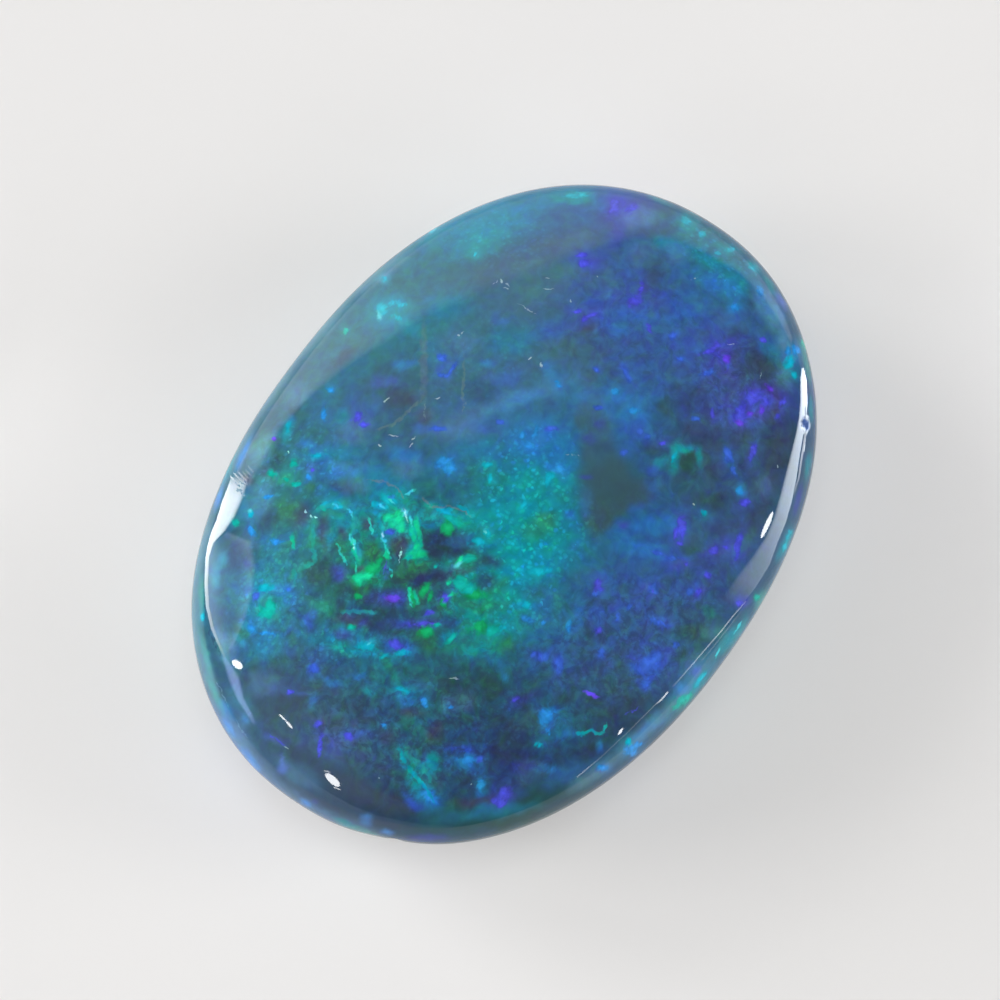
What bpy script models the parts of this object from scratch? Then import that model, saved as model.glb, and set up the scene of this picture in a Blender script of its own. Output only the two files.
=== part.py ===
"""A black opal: one oval cabochon, ground and polished by hand, that rests on its flat back.

X runs along the stone, Y across it, Z up, and the origin is under its middle, on the surface it rests on.
The stone is a stack of oval rings. A ring is named by how far it lies inside the widest outline.
Going up from the back, the surface leans: 180 degrees is the flat back, 90 the upright girdle, 0 the top.
"""

import math

import bmesh
import bpy

MM = 0.001

# Driving sizes
LENGTH = 12.4 * MM
WIDTH = 9.0 * MM
GIRDLE_HEIGHT = 1.25 * MM
RIM_RADIUS = 0.7 * MM
FOOT_RADIUS = 0.15 * MM

# How the surface leans where one form hands over to the next
BACK_BEVEL_LEAN = math.radians(125)
CROWN_EDGE_LEAN = math.radians(30)
FLAT_BACK_LEAN = math.radians(180)
CROWN_FLATTENING = 1.2

# The outline is a little squarer than a true oval, and fades to a true oval at the top of the dome
OUTLINE_POWER = 2.2
OVAL_POWER = 2.0

# Where hand grinding left the outline proud (+) or short (-): direction, half width, amount
HAND_CUT = (
    (math.radians(0), math.radians(13), 0.030 * MM),
    (math.radians(85), math.radians(22), -0.024 * MM),
    (math.radians(140), math.radians(13), 0.034 * MM),
    (math.radians(195), math.radians(6), -0.045 * MM),
    (math.radians(333), math.radians(13), -0.040 * MM),
)

# How finely the smooth stone is divided
POINTS_ROUND = 128
FOOT_RINGS = 3
RIM_RINGS = 13
CROWN_RINGS = 12
STEPS_PER_RING = 20

HALF_LENGTH = LENGTH / 2
HALF_WIDTH = WIDTH / 2


def clear_scene():
    for old in list(bpy.data.objects):
        bpy.data.objects.remove(old)


def arc_leans(start, end, count):
    """Evenly spaced leans from start to end, both included."""
    return [start + (end - start) * i / (count - 1) for i in range(count)]


def rim_profile():
    """(inset, height) round the girdle, from the back bevel up to the edge of the dome."""
    return [
        (RIM_RADIUS * (1 - math.sin(lean)), GIRDLE_HEIGHT + RIM_RADIUS * math.cos(lean))
        for lean in arc_leans(BACK_BEVEL_LEAN, CROWN_EDGE_LEAN, RIM_RINGS)
    ]


def foot_profile():
    """(inset, height) of the small round where the flat back turns up into the back bevel."""
    bevel_top_inset, bevel_top_height = rim_profile()[0]
    bevel_foot_height = FOOT_RADIUS * (1 + math.cos(BACK_BEVEL_LEAN))
    bevel_run = (bevel_top_height - bevel_foot_height) / math.tan(math.pi - BACK_BEVEL_LEAN)
    centre_inset = bevel_top_inset + bevel_run + FOOT_RADIUS * math.sin(BACK_BEVEL_LEAN)
    return [
        (centre_inset - FOOT_RADIUS * math.sin(lean), FOOT_RADIUS * (1 + math.cos(lean)))
        for lean in arc_leans(FLAT_BACK_LEAN, BACK_BEVEL_LEAN, FOOT_RINGS)
    ]


def crown_profile():
    """(inset, height) of the low dome, ending with the height of its very top."""
    inset, height = rim_profile()[-1]
    run = HALF_WIDTH - inset
    steps = CROWN_RINGS * STEPS_PER_RING
    points = []
    for step in range(1, steps + 1):
        middle = (step - 0.5) / steps
        lean = CROWN_EDGE_LEAN * (1 - middle) ** CROWN_FLATTENING
        height += math.tan(lean) * run / steps
        if step % STEPS_PER_RING == 0:
            points.append((inset + run * step / steps, height))
    return points


def hand_cut(angle):
    """How far the outline stands proud of a true oval in this direction."""
    amount = 0.0
    for direction, half_width, proud in HAND_CUT:
        apart = math.remainder(angle - direction, 2 * math.pi)
        amount += proud * math.exp(-((apart / half_width) ** 2))
    return amount


def ring_point(angle, inset, height):
    """One point of the ring that lies this far inside the widest outline."""
    share = inset / HALF_WIDTH
    half_length = HALF_LENGTH - inset - (HALF_LENGTH - HALF_WIDTH) * share**2
    half_width = HALF_WIDTH - inset
    power = OUTLINE_POWER + (OVAL_POWER - OUTLINE_POWER) * share
    across, along = math.sin(angle), math.cos(angle)
    reach = (abs(along / half_length) ** power + abs(across / half_width) ** power) ** (-1 / power)
    reach += hand_cut(angle) * (1 - share)
    return (reach * along, reach * across, height)


def even_angles():
    """Directions that space the points evenly round an oval of the stone's proportions."""
    turns = [2 * math.pi * i / POINTS_ROUND for i in range(POINTS_ROUND)]
    return [math.atan2(HALF_WIDTH * math.sin(t), HALF_LENGTH * math.cos(t)) for t in turns]


def add_ring(mesh, angles, inset, height):
    """A closed loop of edges."""
    points = [mesh.verts.new(ring_point(angle, inset, height)) for angle in angles]
    return [mesh.edges.new((points[i - 1], points[i])) for i in range(len(points))]


def build_stone():
    """The whole stone as one closed skin: flat back, back bevel, girdle and dome."""
    mesh = bmesh.new()
    angles = even_angles()
    crown = crown_profile()
    profile = foot_profile() + rim_profile() + crown[:-1]
    rings = [add_ring(mesh, angles, inset, height) for inset, height in profile]
    for lower, upper in zip(rings, rings[1:]):
        bmesh.ops.bridge_loops(mesh, edges=lower + upper)
    bmesh.ops.contextual_create(mesh, geom=rings[0])
    top = mesh.verts.new((0, 0, crown[-1][1]))
    for edge in rings[-1]:
        mesh.faces.new((*edge.verts, top))
    bmesh.ops.recalc_face_normals(mesh, faces=mesh.faces)
    data = bpy.data.meshes.new("black_opal")
    mesh.to_mesh(data)
    mesh.free()
    data.shade_smooth()
    stone = bpy.data.objects.new("black_opal", data)
    bpy.context.scene.collection.objects.link(stone)
    return stone


def polished_opal():
    """Dark potch with blue and green play of colour under a glossy polish."""
    material = bpy.data.materials.new("polished_black_opal")
    material.use_nodes = True
    surface = material.node_tree.nodes["Principled BSDF"]
    surface.inputs["Base Color"].default_value = (0.02, 0.10, 0.22, 1.0)
    surface.inputs["Metallic"].default_value = 0.0
    surface.inputs["Roughness"].default_value = 0.04
    surface.inputs["IOR"].default_value = 1.45
    return material


clear_scene()
stone = build_stone()
stone.data.materials.append(polished_opal())
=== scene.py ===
"""A black opal cabochon on a pale table, seen from above under soft studio light.

The stone lies with its length along X, its flat back on the table at z = 0. Its colour lives in a thin bar just
under the polish, so it is laid down as a painter would: broad clouds of colour first, smaller shades over them,
then the flashes, all placed as the camera sees them. The material breaks them up into grains, and adds fine marks.
The highlights are mostly real reflections, of glowing cards that stand where the polish mirrors them to the camera; a
pale veil of reflection over the rim, the flank and the upper half, dark lines in the left flank and glints in tiny
pits are painted into the colour.
"""

import math

import bmesh
import bpy
import numpy as np
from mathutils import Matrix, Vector, noise
from mathutils.bvhtree import BVHTree
from mathutils.interpolate import poly_3d_calc


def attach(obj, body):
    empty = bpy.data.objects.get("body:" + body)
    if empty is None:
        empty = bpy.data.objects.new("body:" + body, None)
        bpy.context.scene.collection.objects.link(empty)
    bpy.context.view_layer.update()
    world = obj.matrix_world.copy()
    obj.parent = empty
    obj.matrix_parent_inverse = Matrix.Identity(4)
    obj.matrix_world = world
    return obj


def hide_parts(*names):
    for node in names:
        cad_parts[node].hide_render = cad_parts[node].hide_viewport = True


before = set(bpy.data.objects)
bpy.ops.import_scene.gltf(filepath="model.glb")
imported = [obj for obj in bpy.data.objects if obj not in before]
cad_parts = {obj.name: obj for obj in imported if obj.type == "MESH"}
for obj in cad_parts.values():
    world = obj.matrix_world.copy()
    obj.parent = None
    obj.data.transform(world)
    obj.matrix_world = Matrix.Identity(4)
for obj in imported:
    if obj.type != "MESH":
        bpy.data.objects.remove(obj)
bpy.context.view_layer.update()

MM = 0.001

# The cut stone
LENGTH = 12.4 * MM
WIDTH = 9.0 * MM
HALF_LENGTH = LENGTH / 2
HALF_WIDTH = WIDTH / 2
GIRDLE_HEIGHT = 1.25 * MM
RIM_RADIUS = 0.7 * MM
FOOT_RADIUS = 0.15 * MM
BACK_BEVEL_LEAN = math.radians(125)
CROWN_EDGE_LEAN = math.radians(30)
CROWN_FLATTENING = 1.2
OUTLINE_POWER = 2.2
OVAL_POWER = 2.0
HAND_CUT = (
    (math.radians(0), math.radians(13), 0.030 * MM),
    (math.radians(85), math.radians(22), -0.024 * MM),
    (math.radians(140), math.radians(13), 0.034 * MM),
    (math.radians(195), math.radians(6), -0.045 * MM),
    (math.radians(333), math.radians(13), -0.040 * MM),
)

# How finely it is modelled
POINTS_ROUND = 144
FOOT_RINGS = 3
RIM_RINGS = 10
CROWN_RINGS = 20
CROWN_LAST_INSET = 0.80
CROWN_STEPS = 400
SMOOTHING_LEVELS = 2
SAME_HEIGHT = 1e-7

# The camera, and how the picture lies over the stone
CAMERA_AZIMUTH = math.radians(-55.6)
CAMERA_ELEVATION = math.radians(71)
CAMERA_DISTANCE = 200 * MM
SENSOR = 36.0
CLIP_START = 0.01
CLIP_END = 10
FRAME_WIDTH = 16.843 * MM
PICTURE = 1000
STONE_MIDDLE_IN_PICTURE = (506.4, 512.0)


def linear(code):
    """A screen colour such as #3c5a5c as linear red, green and blue."""
    parts = [int(code[i : i + 2], 16) / 255 for i in (1, 3, 5)]
    return tuple(p / 12.92 if p <= 0.04045 else ((p + 0.055) / 1.055) ** 2.4 for p in parts)


# Directions, with the picture's right, up and towards the camera
BACK = Vector((
    math.sin(CAMERA_AZIMUTH) * math.cos(CAMERA_ELEVATION),
    -math.cos(CAMERA_AZIMUTH) * math.cos(CAMERA_ELEVATION),
    math.sin(CAMERA_ELEVATION),
))
RIGHT = Vector((0, 0, 1)).cross(BACK).normalized()
UP = BACK.cross(RIGHT)
FAR = Vector((-BACK.x, -BACK.y, 0)).normalized()
MM_PER_PIXEL = FRAME_WIDTH / PICTURE
AIM = (
    Vector((0, 0, GIRDLE_HEIGHT))
    - RIGHT * (STONE_MIDDLE_IN_PICTURE[0] - PICTURE / 2) * MM_PER_PIXEL
    + UP * (STONE_MIDDLE_IN_PICTURE[1] - PICTURE / 2) * MM_PER_PIXEL
)
EYE = AIM + BACK * CAMERA_DISTANCE


def picture_places(points):
    """Where points of the stone show in the picture, in its pixels from the top left corner."""
    away = points - np.array(EYE)
    depth = -away @ np.array(BACK)
    scale = CAMERA_DISTANCE / depth / MM_PER_PIXEL
    across = PICTURE / 2 + (away @ np.array(RIGHT)) * scale
    down = PICTURE / 2 - (away @ np.array(UP)) * scale
    return np.stack([across, down], axis=1)


def outline_point(angle, inset, height):
    """A point of the ring that lies this far inside the widest outline."""
    share = inset / HALF_WIDTH
    half_length = HALF_LENGTH - inset - (HALF_LENGTH - HALF_WIDTH) * share**2
    half_width = HALF_WIDTH - inset
    power = OUTLINE_POWER + (OVAL_POWER - OUTLINE_POWER) * share
    across, along = math.sin(angle), math.cos(angle)
    reach = (abs(along / half_length) ** power + abs(across / half_width) ** power) ** (-1 / power)
    for direction, half_angle, proud in HAND_CUT:
        apart = math.remainder(angle - direction, 2 * math.pi)
        reach += proud * math.exp(-((apart / half_angle) ** 2)) * (1 - share)
    return Vector((reach * along, reach * across, height))


def spread(start, end, count):
    return [start + (end - start) * i / (count - 1) for i in range(count)]


def side_profile():
    """(inset, height) from the edge of the flat back up over the girdle to near the top of the dome."""
    rim = [
        (RIM_RADIUS * (1 - math.sin(lean)), GIRDLE_HEIGHT + RIM_RADIUS * math.cos(lean))
        for lean in spread(BACK_BEVEL_LEAN, CROWN_EDGE_LEAN, RIM_RINGS)
    ]
    bevel_foot_height = FOOT_RADIUS * (1 + math.cos(BACK_BEVEL_LEAN))
    bevel_run = (rim[0][1] - bevel_foot_height) / math.tan(math.pi - BACK_BEVEL_LEAN)
    centre_inset = rim[0][0] + bevel_run + FOOT_RADIUS * math.sin(BACK_BEVEL_LEAN)
    foot = [
        (centre_inset - FOOT_RADIUS * math.sin(lean), FOOT_RADIUS * (1 + math.cos(lean)))
        for lean in spread(math.pi, BACK_BEVEL_LEAN, FOOT_RINGS)
    ]
    inset, height = rim[-1]
    run = HALF_WIDTH - inset
    crown, ring = [], 1
    for step in range(CROWN_STEPS):
        share = (step + 0.5) / CROWN_STEPS
        height += math.tan(CROWN_EDGE_LEAN * (1 - share) ** CROWN_FLATTENING) * run / CROWN_STEPS
        if (step + 1) / CROWN_STEPS >= CROWN_LAST_INSET * ring / CROWN_RINGS and ring <= CROWN_RINGS:
            crown.append((inset + run * (step + 1) / CROWN_STEPS, height))
            ring += 1
    return foot + rim + crown, height


def ease_selected(body, inset, height):
    """Moves the selected ring of points onto the stone's outline at this inset and height."""
    shape = bmesh.from_edit_mesh(body.data)
    for point in shape.verts:
        if point.select:
            point.co = outline_point(math.atan2(point.co.y, point.co.x), inset, height)
    bmesh.update_edit_mesh(body.data)


def model_stone():
    """A flat disc drawn up ring by ring into the cabochon, its top filled with an even net, then smoothed."""
    profile, top_height = side_profile()
    bpy.ops.object.select_all(action="DESELECT")
    bpy.ops.mesh.primitive_circle_add(
        vertices=POINTS_ROUND, radius=HALF_LENGTH, fill_type="NGON", location=(0, 0, 0)
    )
    body = bpy.context.object
    body.name = "opal_stone"
    bpy.ops.object.mode_set(mode="EDIT")
    bpy.ops.transform.resize(value=(1, WIDTH / LENGTH, 1))
    ease_selected(body, *profile[0])
    for (_, before), (inset, height) in zip(profile, profile[1:]):
        bpy.ops.mesh.extrude_region_move(TRANSFORM_OT_translate={"value": (0, 0, height - before)})
        ease_selected(body, inset, height)
    bpy.ops.mesh.delete(type="ONLY_FACE")
    bpy.ops.mesh.select_mode(type="EDGE")
    bpy.ops.mesh.select_all(action="DESELECT")
    bpy.ops.mesh.select_non_manifold(extend=False)
    bpy.ops.mesh.fill_grid(span=POINTS_ROUND // 4)
    round_the_top(body, profile[-1], top_height)
    bpy.ops.mesh.select_all(action="SELECT")
    bpy.ops.mesh.normals_make_consistent(inside=False)
    bpy.ops.object.mode_set(mode="OBJECT")
    smoothing = body.modifiers.new("smoothing", "SUBSURF")
    smoothing.levels = smoothing.render_levels = SMOOTHING_LEVELS
    bpy.ops.object.modifier_apply(modifier=smoothing.name)
    bpy.ops.object.shade_smooth()
    return body


def round_the_top(body, last_ring, top_height):
    """Lifts the net that fills the last ring into the top of the dome."""
    inset, height = last_ring
    edge_along = outline_point(0, inset, height).x
    edge_across = outline_point(math.pi / 2, inset, height).y
    shape = bmesh.from_edit_mesh(body.data)
    for point in shape.verts:
        if abs(point.co.z - height) < SAME_HEIGHT:
            out = (point.co.x / edge_along) ** 2 + (point.co.y / edge_across) ** 2
            point.co.z = height + (top_height - height) * max(0.0, 1 - out)
    bmesh.update_edit_mesh(body.data)


stone = model_stone()

# Colours of the play of colour, as the eye names them
BODY = "#30546c"
SLATE = "#3b5a65"
MOSS = "#2b5a4c"
NIGHT = "#283450"
INDIGO = "#2b3c70"
ROYAL = "#304f9e"
BLUE = "#2b5f9c"
AZURE = "#2878c4"
VIOLET = "#4440b8"
TEAL = "#247687"
AQUA = "#1f93ae"
TURQUOISE = "#0c98a2"
SEA_GREEN = "#0f9a74"

# Broad clouds of colour, laid over each other in this order. Each has the place of its middle in the picture,
# its half length and half width in pixels, the turn of its length from the picture's right, and its strength.
CLOUDS = (
    (TEAL, 420, 290, 170, 75, 38, 0.8),
    (AQUA, 520, 208, 120, 26, 12, 0.8),
    (SLATE, 530, 280, 80, 36, 8, 0.9),
    (ROYAL, 645, 320, 150, 95, -45, 0.8),
    (BLUE, 690, 300, 60, 40, -30, 0.7),
    (SLATE, 655, 275, 16, 30, 0, 0.5),
    (TEAL, 715, 262, 70, 28, -42, 0.8),
    (INDIGO, 560, 260, 24, 26, 60, 0.5),
    (VIOLET, 585, 262, 20, 18, 0, 0.5),
    (VIOLET, 622, 208, 32, 20, 0, 0.6),
    (VIOLET, 618, 308, 44, 22, 20, 0.5),
    (SLATE, 560, 350, 50, 28, -20, 0.6),
    (NIGHT, 765, 372, 34, 26, 0, 0.7),
    (VIOLET, 722, 352, 28, 34, -30, 0.7),
    (VIOLET, 755, 402, 46, 26, 10, 0.8),
    (NIGHT, 775, 462, 60, 18, 72, 0.9),
    (INDIGO, 725, 480, 50, 36, 80, 0.8),
    (MOSS, 690, 480, 36, 20, 85, 0.8),
    (NIGHT, 672, 428, 28, 22, 0, 0.6),
    (AZURE, 628, 412, 40, 36, 0, 0.6),
    (BLUE, 640, 528, 66, 42, 10, 0.9),
    (INDIGO, 700, 585, 66, 50, 45, 0.7),
    (VIOLET, 735, 545, 26, 16, 0, 0.6),
    (MOSS, 690, 632, 34, 24, 45, 0.8),
    (ROYAL, 610, 612, 110, 60, 30, 0.8),
    (AZURE, 530, 570, 40, 20, 10, 0.6),
    (TURQUOISE, 525, 535, 92, 66, 75, 0.9),
    (AZURE, 545, 440, 34, 26, 0, 0.8),
    (BLUE, 480, 408, 90, 26, 24, 0.6),
    (TEAL, 290, 540, 100, 64, 60, 0.9),
    (TURQUOISE, 380, 520, 90, 36, -10, 0.7),
    (NIGHT, 395, 392, 40, 30, 0, 0.6),
    (ROYAL, 352, 415, 22, 26, 0, 0.5),
    (BLUE, 330, 470, 34, 26, -20, 0.6),
    (MOSS, 285, 500, 34, 26, 70, 0.7),
    (MOSS, 330, 575, 34, 28, 0, 0.7),
    (SEA_GREEN, 368, 565, 42, 34, 0, 0.6),
    (TURQUOISE, 484, 600, 56, 36, -60, 0.8),
    (NIGHT, 452, 548, 36, 20, 10, 0.8),
    (NIGHT, 400, 602, 50, 26, -10, 0.6),
    (MOSS, 425, 590, 26, 30, 0, 0.5),
    (AQUA, 265, 600, 26, 34, 0, 0.7),
    (BLUE, 310, 640, 60, 28, -20, 0.7),
    (TEAL, 365, 645, 60, 20, -12, 0.7),
    (NIGHT, 300, 730, 100, 60, -30, 0.8),
    (INDIGO, 330, 738, 44, 20, 0, 0.6),
    (TEAL, 400, 690, 60, 40, -30, 0.5),
    (NIGHT, 380, 800, 90, 30, -12, 0.7),
    (TEAL, 415, 765, 60, 22, -60, 0.8),
    (MOSS, 480, 695, 50, 26, -20, 0.7),
    (INDIGO, 520, 745, 70, 56, 0, 0.8),
    (BLUE, 470, 755, 26, 24, 0, 0.6),
    (TEAL, 560, 722, 42, 24, -10, 0.7),
    (MOSS, 520, 810, 90, 18, 8, 0.7),
    (NIGHT, 620, 715, 60, 26, 40, 0.6),
    (ROYAL, 650, 662, 24, 24, 0, 0.8),
)

# Smaller shades between the clouds, each with its colour, its strength and its strokes. A stroke has the place
# of its middle in the picture, its half length and half width in pixels, and its turn from the picture's right.
POTCH = "#2e3a58"
INK = "#2f4060"
PLUM = "#43465e"
DEEP_MOSS = "#2b4c4a"
OLIVE = "#2f7458"
JADE = "#268a76"
LAGOON = "#1a90a0"
CORNFLOWER = "#2c7ac2"
COBALT_SHADE = "#3359b2"
IRIS = "#404aac"
# A pale milky blue: partly the stone's own haze, partly a painted reflection of the studio and the pale table in the
# polish
MILK_AND_REFLECTION = "#6c9cae"
STEEL = "#3c6680"
DUSK = "#3c4d62"
BRIGHT_IRIS = "#4450c4"
STREAK_CYAN = "#14a0b4"
RIM_BLUE_AND_REFLECTION = "#4a86a6"
GREY_TEAL = "#4c7c82"
LIGHT_AQUA = "#2c94b4"
CLEAR_ROYAL = "#2f5ac4"
OPEN_AQUA = "#2a86ac"
CLEAR_TURQUOISE = "#10a49c"
CURL_TEAL = "#1c98a8"
DEEP_NAVY = "#28385c"
BLOCK_JADE = "#1c9a84"
STILL_AQUA = "#1c88a4"
BRIGHT_LAGOON = "#1898b4"
SLATE_NAVY = "#34506c"
SAGE = "#4a7c7c"
DENIM = "#3c6c9c"
PETROL = "#2c6478"
ASH = "#3c5460"
CURL_MOSS = "#2d5250"
PALE_RIM_REFLECTION = "#6aa0c8"
HAZE_AND_REFLECTION = "#5c8cb0"
SEA_HAZE_AND_REFLECTION = "#5ca0a8"
SOFT_AZURE = "#3c80c0"
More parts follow.
